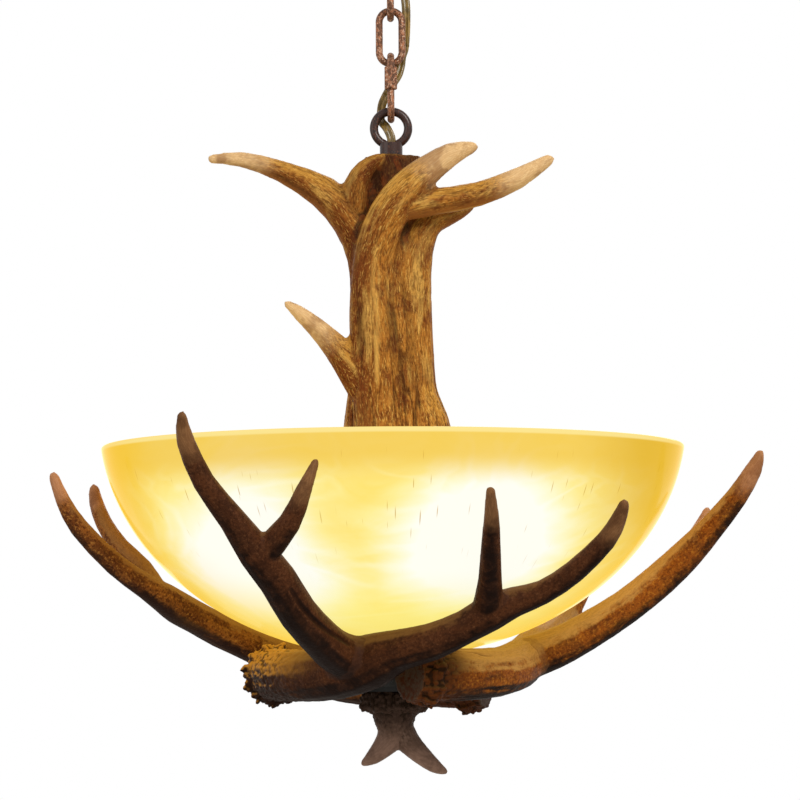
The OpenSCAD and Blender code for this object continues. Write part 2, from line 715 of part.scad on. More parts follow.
// One screw along Z, with its head below the zero
module antler_screw() {
  translate([0, 0, -3]) rotate_extrude() polygon([
    [0, 0], [3, 0], [4.6, 1.2], [4.6, 3], [screw_d / 2, 3], [screw_d / 2, screw_l - 4],
    [0.6, screw_l + 3], [0, screw_l + 3]]);
}

module at_screw(a) {
  rotate(a) translate([hub_d / 2 - hub_wall - hole_gap, 0, hub_mid]) rotate([0, 90, 0]) children();
}

module antler_screws() {
  color(steel) for (a = antler_angles, s = screw_angles) at_screw(a + s) antler_screw();
}

// Antlers

// The branches of each antler: its main beam, its left arm and the tine of each arm
antler_branches = [
  [beam, left_arm, left_tine, right_tine],
  [outer_beam, low_left_arm, low_left_tine, outer_right_tine],
  [wide_beam, left_arm, left_tine, wide_right_tine]];

// Stations follow the glass: their arms spread and rise with the bowl's size
function on_bowl(stations) = [
  for (p = stations) let (
    rise = min(max(p.z / 40, 0), 1),
    spread = 1 + rise * (bowl_d / 409 - 1),
    lift = 1 + rise * (bowl_half_h / 166 - 1))
    [p.x * spread, p.y * spread, p.z * lift, p[3]]];

module antler(k) {
  color(antler_brown) difference() {
    rotate(antler_angles[k] + antler_turns[k]) translate([0, 0, hub_mid]) rotate([0, antler_rolls[k], 0]) {
      for (i = [0 : 3]) branch(on_bowl(antler_branches[k][i]), i < 2 ? 12 : 10);
      pearled_burr(burr, burr_heading, burr_r, 11, 3.2);
    }
    translate([0, 0, hub_low - 20]) cylinder(r = hub_d / 2 + 0.2, h = hub_h + 30, $fn = 96);
    for (s = screw_angles) at_screw(antler_angles[k] + s)
      cylinder(d = screw_d + 2 * thread_gap, h = screw_l + 1, $fn = 14);
  }
}

module antler_front() {
  antler(0);
}

module antler_right() {
  antler(1);
}

module antler_left() {
  antler(2);
}

// Finial

function below_cover(stations) = [
  for (p = stations) [p.x, p.y, cover_low + p.z * finial_l / 60, p[3]]];

module finial() {
  color([0.36, 0.29, 0.26]) difference() {
    union() {
      branch(below_cover(finial_stem));
      branch(below_cover(finial_tine), 10);
      pearled_burr([0, 0, cover_low - 7.5], [0, 0, 1], finial_burr_d / 2 - 3, 9, 3.4);
    }
    translate([-50, -50, cover_low - seat_gap]) cube([100, 100, 20]);
    translate([0, 0, insert_low - 1]) cylinder(d = insert_d + 2 * thread_gap, h = 60, $fn = 36);
  }
}

module finial_insert() {
  color(brass) translate([0, 0, insert_low - 1])
    ring_disc(insert_d, pipe_d + 2 * thread_gap, insert_l + 1);
}

crossbar();
nipple();
nipple_nuts();
ground_screw();
canopy_loop();
canopy();
screw_collar();
top_link();
middle_link();
quick_link();
quick_link_sleeve();
flex_stretch(0);  // flex_1
flex_stretch(1);  // flex_2
flex_stretch(2);  // flex_3
flex_stretch(3);  // flex_4
fixture_loop();
centre_pipe();
antler_column();
column_washer();
socket_cluster();
cluster_cover();
cluster_nut();
lamp_holder(0);  // lamp_holder_1
lamp_holder(1);  // lamp_holder_2
lamp_holder(2);  // lamp_holder_3
bulb_cap(0);  // bulb_cap_1
bulb_cap(1);  // bulb_cap_2
bulb_cap(2);  // bulb_cap_3
bulb_glass(0);  // bulb_glass_1
bulb_glass(1);  // bulb_glass_2
bulb_glass(2);  // bulb_glass_3
glass_bowl();
upper_gasket();
clamp_washer();
clamp_nut();
lower_gasket();
hub_cup();
hub_nut();
hub_cover();
antler_screws();
antler_front();
antler_right();
antler_left();
finial();
finial_insert();
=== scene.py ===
# %% [markdown]
# # A pendant light of antlers and amber glass
#
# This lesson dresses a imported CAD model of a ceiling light. Three forked antlers carry a glass
# bowl from below, a column of twisted antlers rises out of the bowl, and a short chain with a
# clear flex leads up to the canopy. The CAD model fixes every size and place, so each cell here
# asks it where a piece is and only adds what CAD leaves out: skin, grain, glass and light.
#
# The first cell loads that model. Everything is in metres, with the origin on the ceiling.

# %% Load the frame
import math

import bmesh
import bpy
import numpy as np
from mathutils import Euler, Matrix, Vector


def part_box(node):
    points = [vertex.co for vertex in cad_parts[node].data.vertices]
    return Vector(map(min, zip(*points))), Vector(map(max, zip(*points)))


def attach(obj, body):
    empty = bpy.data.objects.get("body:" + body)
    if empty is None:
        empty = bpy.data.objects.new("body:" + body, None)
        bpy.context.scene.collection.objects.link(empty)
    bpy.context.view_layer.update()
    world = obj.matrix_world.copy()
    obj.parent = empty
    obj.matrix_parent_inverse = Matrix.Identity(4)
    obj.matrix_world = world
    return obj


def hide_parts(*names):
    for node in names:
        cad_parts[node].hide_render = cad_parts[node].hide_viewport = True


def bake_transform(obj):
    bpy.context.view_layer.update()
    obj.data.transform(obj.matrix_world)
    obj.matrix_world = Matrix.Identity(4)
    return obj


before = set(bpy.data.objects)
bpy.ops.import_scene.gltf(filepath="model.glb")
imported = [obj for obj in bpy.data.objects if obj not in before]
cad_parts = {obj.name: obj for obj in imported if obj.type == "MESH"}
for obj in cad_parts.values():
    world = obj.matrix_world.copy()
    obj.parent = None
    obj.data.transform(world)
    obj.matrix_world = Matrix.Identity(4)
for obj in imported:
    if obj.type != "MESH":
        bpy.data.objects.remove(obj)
scene = bpy.context.scene


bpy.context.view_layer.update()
MM = 0.001

# %% [markdown]
# ## Small tools for materials
#
# Every finish below is made of shader nodes, and so is the world that lights the object. These
# helpers add a node or two and return an output, so that a material reads like a recipe. A value
# can be a number, a vector, the output of another node, or a colour written as in a colour picker.

# %% Helpers that build shader nodes


def rgb(code):
    """A written colour such as 9A6A2E as linear red, green and blue."""
    parts = [int(code[i:i + 2], 16) / 255 for i in (0, 2, 4)]
    return tuple(p / 12.92 if p <= 0.04045 else ((p + 0.055) / 1.055) ** 2.4 for p in parts)


def feed(tree, socket, value):
    """Links an output to a socket, or writes a plain value or a colour into it."""
    if isinstance(value, bpy.types.NodeSocket):
        tree.links.new(value, socket)
    elif isinstance(value, str):
        socket.default_value = (*rgb(value), 1)
    elif socket.type == "RGBA":
        socket.default_value = (*value, 1)
    else:
        socket.default_value = value


def add_node(tree, kind, inputs=None, **options):
    """Adds a node with its options, feeds its inputs by name or number, and gives its outputs."""
    node = tree.nodes.new("ShaderNode" + kind)
    for option, value in options.items():
        setattr(node, option, value)
    for socket, value in (inputs or {}).items():
        feed(tree, node.inputs[socket], value)
    return node.outputs


def calc(tree, operation, a, b=0.0, c=0.0):
    """One Math node."""
    return add_node(tree, "Math", {0: a, 1: b, 2: c}, operation=operation)[0]


def vector_calc(tree, operation, a, b=(0, 0, 0)):
    """One Vector Math node; DISTANCE and LENGTH give a value."""
    outputs = add_node(tree, "VectorMath", {0: a, 1: b}, operation=operation)
    return outputs["Value" if operation in ("DISTANCE", "LENGTH") else "Vector"]


def stretched(tree, vector, scale):
    """A vector with each of its parts scaled."""
    return vector_calc(tree, "MULTIPLY", vector, scale)


def times(tree, product, *factors):
    """Some values multiplied."""
    for factor in factors:
        product = calc(tree, "MULTIPLY", product, factor)
    return product


def nudged(tree, value, by, amount):
    """A value moved up and down by a noise that runs from 0 to 1."""
    return calc(tree, "MULTIPLY_ADD", calc(tree, "SUBTRACT", by, 0.5), amount, value)


def over(tree, colour, paint, *masks):
    """A colour with a paint over it, as thick as its masks multiplied."""
    inputs = {0: times(tree, *masks), 6: colour, 7: paint}
    return add_node(tree, "Mix", inputs, data_type="RGBA")[2]


def eased(tree, value, low, high, to_low=0.0, to_high=1.0):
    """A value carried smoothly from the range low..high to another range."""
    inputs = dict(enumerate((value, low, high, to_low, to_high)))
    return add_node(tree, "MapRange", inputs, interpolation_type="SMOOTHSTEP")[0]


def noise(tree, vector, scale, detail=2.0, roughness=0.5, distortion=0.0, output="Fac"):
    """Fractal noise from 0 to 1, or its three-part colour."""
    inputs = {"Vector": vector, "Scale": scale, "Detail": detail, "Roughness": roughness,
              "Distortion": distortion}
    return add_node(tree, "TexNoise", inputs)[output]


def parts_of(tree, vector):
    """The three parts of a vector."""
    return add_node(tree, "SeparateXYZ", {0: vector})


def place_on_object(tree):
    """The place on the object, in metres from the ceiling."""
    return add_node(tree, "TexCoord")["Object"]


print("node helpers are ready")

# %% Helpers for groups and whole materials
SOCKETS = {"color": "NodeSocketColor", "value": "NodeSocketFloat", "vector": "NodeSocketVector"}


def new_group(name, inputs, outputs):
    """An empty node group and its two ends. The names of its sockets are listed by kind."""
    group = bpy.data.node_groups.new(name, "ShaderNodeTree")
    for side, kinds in (("INPUT", inputs), ("OUTPUT", outputs)):
        for kind, names in kinds.items():
            for socket in names:
                group.interface.new_socket(name=socket, in_out=side, socket_type=SOCKETS[kind])
    start = group.nodes.new("NodeGroupInput")
    end = group.nodes.new("NodeGroupOutput")
    return group, start.outputs, end.inputs


def use_group(tree, group, **values):
    """Places a group in a material; a value's name has underscores for spaces."""
    inputs = {name.replace("_", " ").capitalize(): value for name, value in values.items()}
    return add_node(tree, "Group", inputs, node_tree=group)


def set_shader(tree, shader, **values):
    """Feeds the shader's sockets; a value's name has underscores for spaces."""
    for name, value in values.items():
        feed(tree, shader.inputs[name.replace("_", " ").title().replace("Ior", "IOR")], value)


def new_material(name, **settings):
    """A material with its Principled shader, and plain values written on the shader's sockets."""
    material = bpy.data.materials.new(name)
    material.use_nodes = True
    tree = material.node_tree
    shader = tree.nodes["Principled BSDF"]
    set_shader(tree, shader, **settings)
    return material, tree, shader


def add_bump(tree, shader, height, strength, distance):
    """Turns a height into small bumps of the surface."""
    inputs = {"Strength": strength, "Distance": distance, "Height": height}
    set_shader(tree, shader, normal=add_node(tree, "Bump", inputs)[0])


print("material helpers are ready")

# %% [markdown]
# ## Light and camera
#
# A product photograph of a lamp is lit softly from above and in front, so that the dark antlers
# still show their grain while the glowing glass stays the brightest thing. The backdrop is a
# white world that only the camera, reflections and clear glass see. The object itself gets a
# lower level of light, stronger from above than from below. The camera stands a little over two
# metres away, below the rim of the bowl, and looks slightly up.

# %% Set the view, the world and the floor
scene.view_settings.view_transform = "Standard"

WORLD_TINT = (1.0, 0.94, 0.86)
WORLD_LOW = 0.14
WORLD_HIGH = 0.62
WORLD_BLEND = 0.7
FLOOR_Z = -2.3
FLOOR_SIZE = 14


def build_world():
    """A dim, warm world that lights the object, and looks pure white where it is seen."""
    world = bpy.data.worlds.new("soft_room")
    world.use_nodes = True
    scene.world = world
    tree = world.node_tree
    tree.nodes.clear()
    path = add_node(tree, "LightPath")
    seen = calc(tree, "MAXIMUM", path["Is Camera Ray"], path["Is Transmission Ray"])
    seen = calc(tree, "MAXIMUM", seen, path["Is Glossy Ray"])
    rise = parts_of(tree, add_node(tree, "TexCoord")["Generated"])[2]
    strength = eased(tree, rise, -WORLD_BLEND, WORLD_BLEND, WORLD_LOW, WORLD_HIGH)
    dim = add_node(tree, "Background", {"Color": WORLD_TINT, "Strength": strength})[0]
    white = add_node(tree, "Background", {"Color": (1, 1, 1), "Strength": 1})[0]
    shown = add_node(tree, "MixShader", {0: seen, 1: dim, 2: white})[0]
    add_node(tree, "OutputWorld", {"Surface": shown})


def build_floor():
    """A wide pale floor at the height of a room's floor, far below the light."""
    bpy.ops.mesh.primitive_plane_add(size=FLOOR_SIZE, location=(0, 0, FLOOR_Z))
    floor = bpy.context.object
    floor.name = "floor"
    paint = new_material("floor_paint", base_color=(0.86, 0.86, 0.85), roughness=0.8)[0]
    floor.data.materials.append(paint)


build_world()
build_floor()
print("world and floor are set")

# %% Place the camera and the lamps
CAMERA_PLACE = (0.0024, -2.3299, -0.5475)
CAMERA_PITCH = 4.575
CAMERA_YAW = -0.07
CAMERA_ROLL = -0.31
CAMERA_LENS = 150.5
SENSOR_WIDTH = 36
# Each lamp: its name, its place, the height on the stem that it faces, its size, power and colour
LAMPS = [("key", (1.1, -1.8, 1.0), -0.35, 1.0, 38, (1.0, 0.97, 0.92)),
         ("fill", (-1.9, -1.3, 0.3), -0.40, 1.6, 12, (1.0, 0.98, 0.95)),
         ("back", (0.5, 1.9, 0.8), -0.35, 1.4, 16, (1.0, 1.0, 1.0))]


def turn_by(x, y, z):
    """The matrix of a turn by three angles in degrees."""
    return Euler([math.radians(angle) for angle in (x, y, z)]).to_matrix()


def place_camera():
    """The photograph's viewpoint: level with the hub, looking up by a few degrees."""
    lens = bpy.data.cameras.new("camera")
    lens.lens = CAMERA_LENS
    lens.sensor_width = SENSOR_WIDTH
    camera = bpy.data.objects.new("camera", lens)
    scene.collection.objects.link(camera)
    camera.location = CAMERA_PLACE
    matrix = turn_by(90 + CAMERA_PITCH, 0, CAMERA_YAW) @ turn_by(0, 0, CAMERA_ROLL)
    camera.rotation_euler = matrix.to_euler()
    scene.camera = camera


def soft_lamp(name, place, faces, size, power, colour):
    """A square lamp that faces a height on the stem."""
    lamp = bpy.data.lights.new(name, "AREA")
    lamp.size = size
    lamp.energy = power
    lamp.color = colour
    holder = bpy.data.objects.new(name, lamp)
    scene.collection.objects.link(holder)
    holder.location = place
    aim = Vector((0, 0, faces)) - Vector(place)
    holder.rotation_euler = aim.to_track_quat("-Z", "Y").to_euler()


place_camera()
for lamp in LAMPS:
    soft_lamp(*lamp)
print("camera at", CAMERA_PLACE, "with a lens of", CAMERA_LENS, "mm")

# %% [markdown]
# ## The flex
#
# A flat twin cord carries the current down the chain: two stranded copper cores side by side in
# clear insulation. It is held at both ends, so it is a taut cord and not a coiled one. Because
# every link swings, the cord is cut into four stretches. Its shape is a figure of eight swept along
# the same route as the CAD tube.

# %% Helpers for swept shapes


def curve_through(stations, steps):
    """A smooth curve through the stations; each row may carry a radius after its place."""
    rows = np.array(stations, float)
    last = len(rows) - 1
    points = []
    for i in range(last):
        a, b = rows[max(i - 1, 0)], rows[i]
        c, d = rows[i + 1], rows[min(i + 2, last)]
        for k in range(steps):
            t = k / steps
            points.append(0.5 * (2 * b + (c - a) * t + (2 * a - 5 * b + 4 * c - d) * t * t
                                 + (3 * b - a - 3 * c + d) * t ** 3))
    points.append(rows[last])
    return np.array(points)


def unit_rows(rows):
    """Each row scaled to length one."""
    return rows / np.maximum(np.linalg.norm(rows, axis=-1, keepdims=True), 1e-12)


def frames_along(places, first_side):
    """Headings, sides and ups along a curve, carried without twist."""
    ahead = np.vstack([places[1:], places[-1:]])
    behind = np.vstack([places[:1], places[:-1]])
    headings = unit_rows(ahead - behind)
    sides = np.empty_like(places)
    side = np.array(first_side, float)
    for i, heading in enumerate(headings):
        side = side - side.dot(heading) * heading
        side = side / np.linalg.norm(side)
        sides[i] = side
    return headings, sides, np.cross(headings, sides)


def mesh_object(name, points, faces, material=None):
    """A mesh object from plain lists, with smooth shading."""
    mesh = bpy.data.meshes.new(name)
    mesh.from_pydata([tuple(p) for p in points], [], faces)
    mesh.validate()
    mesh.polygons.foreach_set("use_smooth", [True] * len(mesh.polygons))
    if material:
        mesh.materials.append(material)
    piece = bpy.data.objects.new(name, mesh)
    scene.collection.objects.link(piece)
    return piece


def tube_faces(rings, count):
    """The faces of a capped tube of rings, each with count points."""
    faces = [(i * count + k, i * count + (k + 1) % count,
              (i + 1) * count + (k + 1) % count, (i + 1) * count + k)
             for i in range(rings - 1) for k in range(count)]
    faces.append(tuple(range(count - 1, -1, -1)))
    faces.append(tuple((rings - 1) * count + k for k in range(count)))
    return faces


print("sweep helpers are ready")

# %% Sweep the flex
FLEX_ROUTE = [(0, 0, -36), (0, 0, -40), (3, 2, -46), (7, 5, -53), (9, 7, -61), (10, 7, -72),
              (11, 6, -82), (11, 6, -95), (10, 6, -110), (8, 6, -117), (7, 6, -124), (5, 4, -131),
              (1, 1, -138), (-3, 2, -145), (-6, 5, -151), (-7, 7, -157), (-7, 6, -163),
              (-3, 1, -169), (0, 0, -176), (0, 0, -182), (0, 0, -186)]
FLEX_BREAKS = [0, 5, 8, 13, 20]
FLEX_WIDTH = 6.2 * MM
FLEX_THICK = 3.2 * MM
FLEX_STEPS = 6
FLEX_SIDES = 28
WEB_WIDTH = 0.9 * MM
WEB_DEPTH = 0.45


def twin_outline():
    """A figure of eight: two round cores side by side, joined by a thin web."""
    angles = np.linspace(0, 2 * np.pi, FLEX_SIDES, endpoint=False)
    wide, high = np.cos(angles), np.sin(angles)
    across = wide * FLEX_WIDTH / 2
    oval = high * np.minimum(0.837 + 0.59 * np.abs(wide) ** 0.8, 1.0)
    blocky = np.abs(high) ** 0.6 * np.sign(high)
    pinch = 1 - WEB_DEPTH * np.exp(-(across / WEB_WIDTH) ** 2)
    return np.stack([across, (0.4 * oval + 0.6 * blocky) * FLEX_THICK / 2 * pinch], 1)


route = curve_through(np.array(FLEX_ROUTE) * MM, FLEX_STEPS)
route_sides, route_ups = frames_along(route, (1, 0, 0))[1:]
outline = twin_outline()
flex_pieces = []
for k in range(len(FLEX_BREAKS) - 1):
    first, last = FLEX_BREAKS[k] * FLEX_STEPS, FLEX_BREAKS[k + 1] * FLEX_STEPS
    rings = [route[i] + outline[:, :1] * route_sides[i] + outline[:, 1:] * route_ups[i]
             for i in range(first, last + 1)]
    stretch = mesh_object(f"flex_stretch_{k + 1}", np.vstack(rings),
                          tube_faces(len(rings), FLEX_SIDES))
    flex_pieces.append(stretch)
    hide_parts(f"flex_{k + 1}")
    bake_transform(stretch)

# %% [markdown]
# ## Antler skin as a shader
#
# The antlers are resin castings, painted to look real. Up close the paint is a web of short hair
# strokes that follow each branch, rubbed to bone at the tips, with painted shade in the furrows
# and painted highlight on the ridges. The strokes need to know which way a branch runs, so the
# mesh stores, for every point, where it would lie if its branch were straightened. The group
# takes that place with the masks of the furrows, the tips and the sawn ends, and gives a colour,
# a roughness and a height.

# %% Build the antler skin group
# Painted shade: near-black for the deepest furrows, and black for the gaps between a burr's pearls
FURROW_SHADE_BLACK = (0.01, 0.006, 0.004)
BURR_GAP_SHADE = (0.016, 0.008, 0.003)


def build_antler_skin():
    """Colour, roughness and height of painted antler."""
    tree, given, out = new_group(
        "antler_skin",
        {"vector": ["Straight", "Place"],
         "value": ["Relief", "Fold", "Tip", "Top from", "Pearl", "Sawn", "Upward", "Turned", "Hair",
                   "Grain"],
         "color": ["Dark", "Mid", "Light", "Shade", "Top", "Under", "Crease", "Bone", "Burr", "Cut"]},
        {"color": ["Color"], "value": ["Roughness", "Height"]})
    place, straight = given["Place"], given["Straight"]
    relief, pearl, hair = given["Relief"], given["Pearl"], given["Hair"]
    dark, light, shade = given["Dark"], given["Light"], given["Shade"]

    # Two lays of hair that sway apart, streaks, clouds, speckles, ragged edges and pith
    sway = vector_calc(tree, "SUBTRACT", noise(tree, straight, 24, 1.0, output="Color"),
                       (0.5, 0.5, 0.5))
    sway = stretched(tree, sway, (0.016, 0.016, 0))
    left_lay = vector_calc(tree, "ADD", straight, sway)
    right_lay = vector_calc(tree, "SUBTRACT", straight, sway)
    dark_hair = noise(tree, stretched(tree, left_lay, (1150, 1150, 130)), 1.0, 2.0, 0.55)
    pale_hair = noise(tree, stretched(tree, right_lay, (1250, 1250, 150)), 1.0, 2.0, 0.55)
    drift = noise(tree, stretched(tree, left_lay, (62, 62, 13)), 1.0, 3.0, 0.6)
    clouds = noise(tree, place, 45, 3.0, 0.6, 0.4)
    grain = noise(tree, place, 560, 2.0, 0.6, 0.4)
    ragged = noise(tree, place, 95, 3.0, 0.65, 0.8)
    pith = noise(tree, place, 260, 3.0, 0.6, 0.6)

    # The body colour, from the widest patches to the finest strokes
    side = nudged(tree, given["Upward"], ragged, 0.8)
    lit_top_mask = eased(tree, calc(tree, "SUBTRACT", side, given["Top from"]), 0.0, 0.4)
    rough_side = times(tree, given["Grain"], calc(tree, "MULTIPLY_ADD", lit_top_mask, -0.8, 1.0))
    # Random darker patches, and painted shade on the side that faces left
    patches_and_shade_mask = calc(tree, "MAXIMUM", eased(tree, clouds, 0.44, 0.58, 0, 0.8), given["Turned"])
    colour = over(tree, given["Mid"], shade, patches_and_shade_mask)
    colour = over(tree, colour, shade, eased(tree, drift, 0.51, 0.64, 0, 0.55), hair)
    colour = over(tree, colour, light, eased(tree, drift, 0.46, 0.34, 0, 0.5), hair)
    # Painted light on the top, where it faces up
    colour = over(tree, colour, given["Top"], lit_top_mask)
    colour = over(tree, colour, dark, rough_side, eased(tree, grain, 0.50, 0.64, 0, 0.8))
    colour = over(tree, colour, light, rough_side, eased(tree, grain, 0.44, 0.32, 0, 0.6))
    colour = over(tree, colour, dark, eased(tree, dark_hair, 0.46, 0.62, 0, 0.58), hair)
    colour = over(tree, colour, light, eased(tree, pale_hair, 0.56, 0.70, 0, 0.50), hair)
    # Painted shade underneath, where it faces down
    colour = over(tree, colour, given["Under"], eased(tree, side, -0.32, -0.78))

    # Painted highlight on the ridges, painted shade in the furrows, the creases and between the burr's
    # pearls
    bald = calc(tree, "MULTIPLY_ADD", pearl, -0.8, 1.0)
    colour = over(tree, colour, light, eased(tree, relief, 0.05, 0.75, 0, 0.5), bald)
    colour = over(tree, colour, over(tree, dark, FURROW_SHADE_BLACK, 0.3),
                  eased(tree, relief, -0.15, -0.80, 0, 0.72))
    # The crease colour is painted shade in the creases; on the front antler it is a painted purple-grey
    # sheen
    crease = over(tree, given["Crease"], shade, eased(tree, ragged, 0.46, 0.62, 0, 0.8))
    colour = over(tree, colour, crease,
                  eased(tree, nudged(tree, given["Fold"], ragged, 0.6), 0.15, 0.85, 0, 0.85))
    colour = over(tree, colour, over(tree, shade, dark, 0.8), pearl, 0.85)
    # Pearls that face up take the burr colour as painted light from above; the gaps between them get
    # painted shade
    colour = over(tree, colour, given["Burr"], pearl, eased(tree, side, -0.25, 0.5, 0, 0.85))
    colour = over(tree, colour, BURR_GAP_SHADE, pearl, eased(tree, relief, -0.15, -0.78, 0, 0.8))

    # Tips rubbed to bone, and sawn ends
    tip_mask = nudged(tree, nudged(tree, given["Tip"], clouds, 0.7), ragged, 0.5)
    tip_mask = eased(tree, tip_mask, 0.08, 0.92)
    bone = over(tree, given["Bone"], given["Mid"], eased(tree, pale_hair, 0.42, 0.66, 0.3, 0.0))
    bone = over(tree, bone, shade, eased(tree, clouds, 0.48, 0.62, 0, 0.5))
    colour = over(tree, colour, bone, tip_mask, 0.9)
    cut = over(tree, given["Cut"], dark, eased(tree, pith, 0.42, 0.62))
    feed(tree, out["Color"], over(tree, colour, cut, given["Sawn"]))

    # A tip is smoother than the rest
    rough = calc(tree, "MULTIPLY_ADD", grain, 0.3, 0.36)
    feed(tree, out["Roughness"], calc(tree, "MULTIPLY_ADD", tip_mask, -0.12, rough))
    strokes = calc(tree, "MULTIPLY_ADD", dark_hair, -0.5, times(tree, pale_hair, 0.5))
    grit = times(tree, grain, calc(tree, "ADD", rough_side, 0.25))
    height = calc(tree, "MULTIPLY_ADD", strokes, hair, grit)
    smooth = calc(tree, "MULTIPLY_ADD", tip_mask, -0.75, 1.0)
    feed(tree, out["Height"], times(tree, height, smooth))
    return tree


antler_skin = build_antler_skin()
print("antler skin has", len(antler_skin.nodes), "nodes")

# %% [markdown]
# Each antler has paints of its own, because the photograph shows the column golden and streaked,
# the front antler dark and the side ones rusty.

# %% Mix the antler paints
ANTLER_BUMP = 0.5


def antler_material(name, hair, grain, turned=0.0, top_from=0.0, **paints):
    """One antler's paint. Hair and grain are the strength of strokes and of speckles, turned is
    how far the side that faces left is painted in shade, and top_from how level a place is to count
    as top, which is painted lit."""
    material, tree, shader = new_material(name, specular_ior_level=0.04)
    normal = parts_of(tree, add_node(tree, "TexCoord")["Normal"])
    stored = {mask: add_node(tree, "Attribute", attribute_name=mask)["Fac"]
              for mask in ("relief", "fold", "tip", "pearl", "sawn")}
    skin = use_group(
        tree, antler_skin, place=place_on_object(tree), upward=normal[2], hair=hair, grain=grain,
        straight=add_node(tree, "Attribute", attribute_name="straight")["Vector"],
        turned=eased(tree, normal[0], 0.45, -0.55, 0, turned), top_from=top_from, cut="4E3C2E",
        **stored, **paints)
    set_shader(tree, shader, base_color=skin["Color"], roughness=skin["Roughness"])
    add_bump(tree, shader, skin["Height"], ANTLER_BUMP, 0.8 * MM)
    return material


# Top is painted light on faces that look up, and under is painted shade on faces that look down; crease
# is painted shade in the creases, a painted purple-grey sheen on the front antler; burr colours the
# burr's upward pearls, golden painted light from the glowing bowl on the front antler
column_paint = antler_material(
    "column_antler", hair=1.0, grain=0.3, turned=0.85, dark="3E1C08", mid="AE722E", light="E8BA62",
    shade="6C3416", top="BE883A", under="8A562A", crease="2C1812", bone="E8C694")
side_paint = antler_material(
    "side_antler", hair=0.3, grain=0.75, dark="4A240E", mid="904E18", light="CC882E",
    shade="6E3E1A", top="BC8C4C", under="1E110A", crease="7A5430", bone="B88660", burr="4E3218")
front_paint = antler_material(
    "front_antler", hair=0.3, grain=0.6, top_from=0.3, dark="26130A", mid="4E2C18", light="704A30",
    shade="3A2012", top="6C4A28", under="1A0C06", crease="4A3228", bone="86603E", burr="D89840")
left_paint = antler_material(
    "left_antler", hair=0.3, grain=0.9, top_from=0.1, dark="3E1E0E", mid="8C5424", light="C48A42",
    shade="5E3216", top="986A3A", under="2C180E", crease="6A4428", bone="B88460", burr="4E3218")
finial_paint = antler_material(
    "finial_antler", hair=0.4, grain=0.7, dark="2E2019", mid="6E5648", light="967A6A",
    shade="564034", top="7A6254", under="5A4438", crease="34251E", bone="927464", burr="4A382C")
print("antler paints:", [m.name for m in bpy.data.materials if "antler" in m.name])

# %% [markdown]
# ## Antlers as meshes
#
# An antler is a few tapering branches that grow out of each other, with a knobbly burr at the
# foot. The CAD model has those branches as plain faceted tubes. Here each casting is remeshed
# into small even faces, relaxed until the facets and the crotches are soft, and then pushed in
# and out along its normals: long furrows that follow each branch, fine waves, and pearls near
# the burr. The stations of the branches are repeated from the CAD model, in millimetres, because
# they say which way each branch runs.

# %% Noise for meshes
CELL_PRIMES = (374761393, 668265263, 1440662683)
SEED_PRIME = 362437
STIR_PRIME = 1274126177
BUMP_SIZE = 0.42


def lattice_values(cell, seed):
    """A repeatable random number from -1 to 1 for each whole-numbered cell."""
    x, y, z = (cell[:, i].astype(np.int64) * prime for i, prime in enumerate(CELL_PRIMES))
    bits = (x + y + z + seed * SEED_PRIME) & 0xFFFFFFFF
    bits = ((bits ^ (bits >> 13)) * STIR_PRIME) & 0xFFFFFFFF
    return ((bits ^ (bits >> 16)) & 0xFFFFFF) / 0x7FFFFF - 1


def soft_noise(points, seed):
    """Smooth noise from -1 to 1 with cells of size one."""
    base = np.floor(points)
    t = points - base
    t = t * t * (3 - 2 * t)
    total = np.zeros(len(points))
    sides = (1 - t, t)
    for x, y, z in np.ndindex(2, 2, 2):
        weight = sides[x][:, 0] * sides[y][:, 1] * sides[z][:, 2]
        total += weight * lattice_values(base + (x, y, z), seed)
    return total


def round_bumps(points, seed):
    """Round bumps, one in each cell of size one: 1 on top and 0 between them."""
    base = np.floor(points)
    nearest = np.full(len(points), 9.0)
    for corner in np.ndindex(3, 3, 3):
        cell = base + corner - 1
        middle = np.stack([lattice_values(cell, seed + i) for i in range(3)], 1) * 0.4 + 0.5
        nearest = np.minimum(nearest, ((cell + middle - points) ** 2).sum(1))
    return np.clip(1 - nearest / BUMP_SIZE, 0, 1)


def ramp_down(values, full, none):
    """1 up to the first mark, 0 after the second, smooth between."""
    t = np.clip((none - values) / (none - full), 0, 1)
    return t * t * (3 - 2 * t)


print("noise is ready")

# %% Remeshing and smoothing
SHALLOW_CREASE = 0.35 * MM
DEEP_CREASE = 0.5 * MM
CREASE_ROUNDS = 6


def vertices_of(mesh, what="co"):
    """The vertices' places or normals as an array."""
    values = np.empty(len(mesh.vertices) * 3, np.float32)
    mesh.vertices.foreach_get(what, values)
    return values.reshape(-1, 3).astype(float)


def edges_of(mesh):
    """The edges as pairs of vertex numbers."""
    values = np.empty(len(mesh.edges) * 2, np.int32)
    mesh.edges.foreach_get("vertices", values)
    return values.reshape(-1, 2)


def set_points(mesh, points):
    """Moves the vertices."""
    mesh.vertices.foreach_set("co", points.astype(np.float32).ravel())
    mesh.update()


def remeshed_copy(name, node, voxel):
    """A copy of a CAD node with small even faces."""
    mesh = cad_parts[node].data.copy()
    piece = bpy.data.objects.new(name, mesh)
    scene.collection.objects.link(piece)
    melt = bmesh.new()
    melt.from_mesh(mesh)
    bmesh.ops.remove_doubles(melt, verts=melt.verts, dist=1e-6)
    melt.to_mesh(mesh)
    melt.free()
    grid = piece.modifiers.new("grid", "REMESH")
    grid.mode = "VOXEL"
    grid.voxel_size = voxel
    bpy.context.view_layer.update()
    done = bpy.data.meshes.new_from_object(piece.evaluated_get(bpy.context.evaluated_depsgraph_get()))
    piece.modifiers.clear()
    piece.data = done
    done.name = name
    done.materials.clear()
    return piece


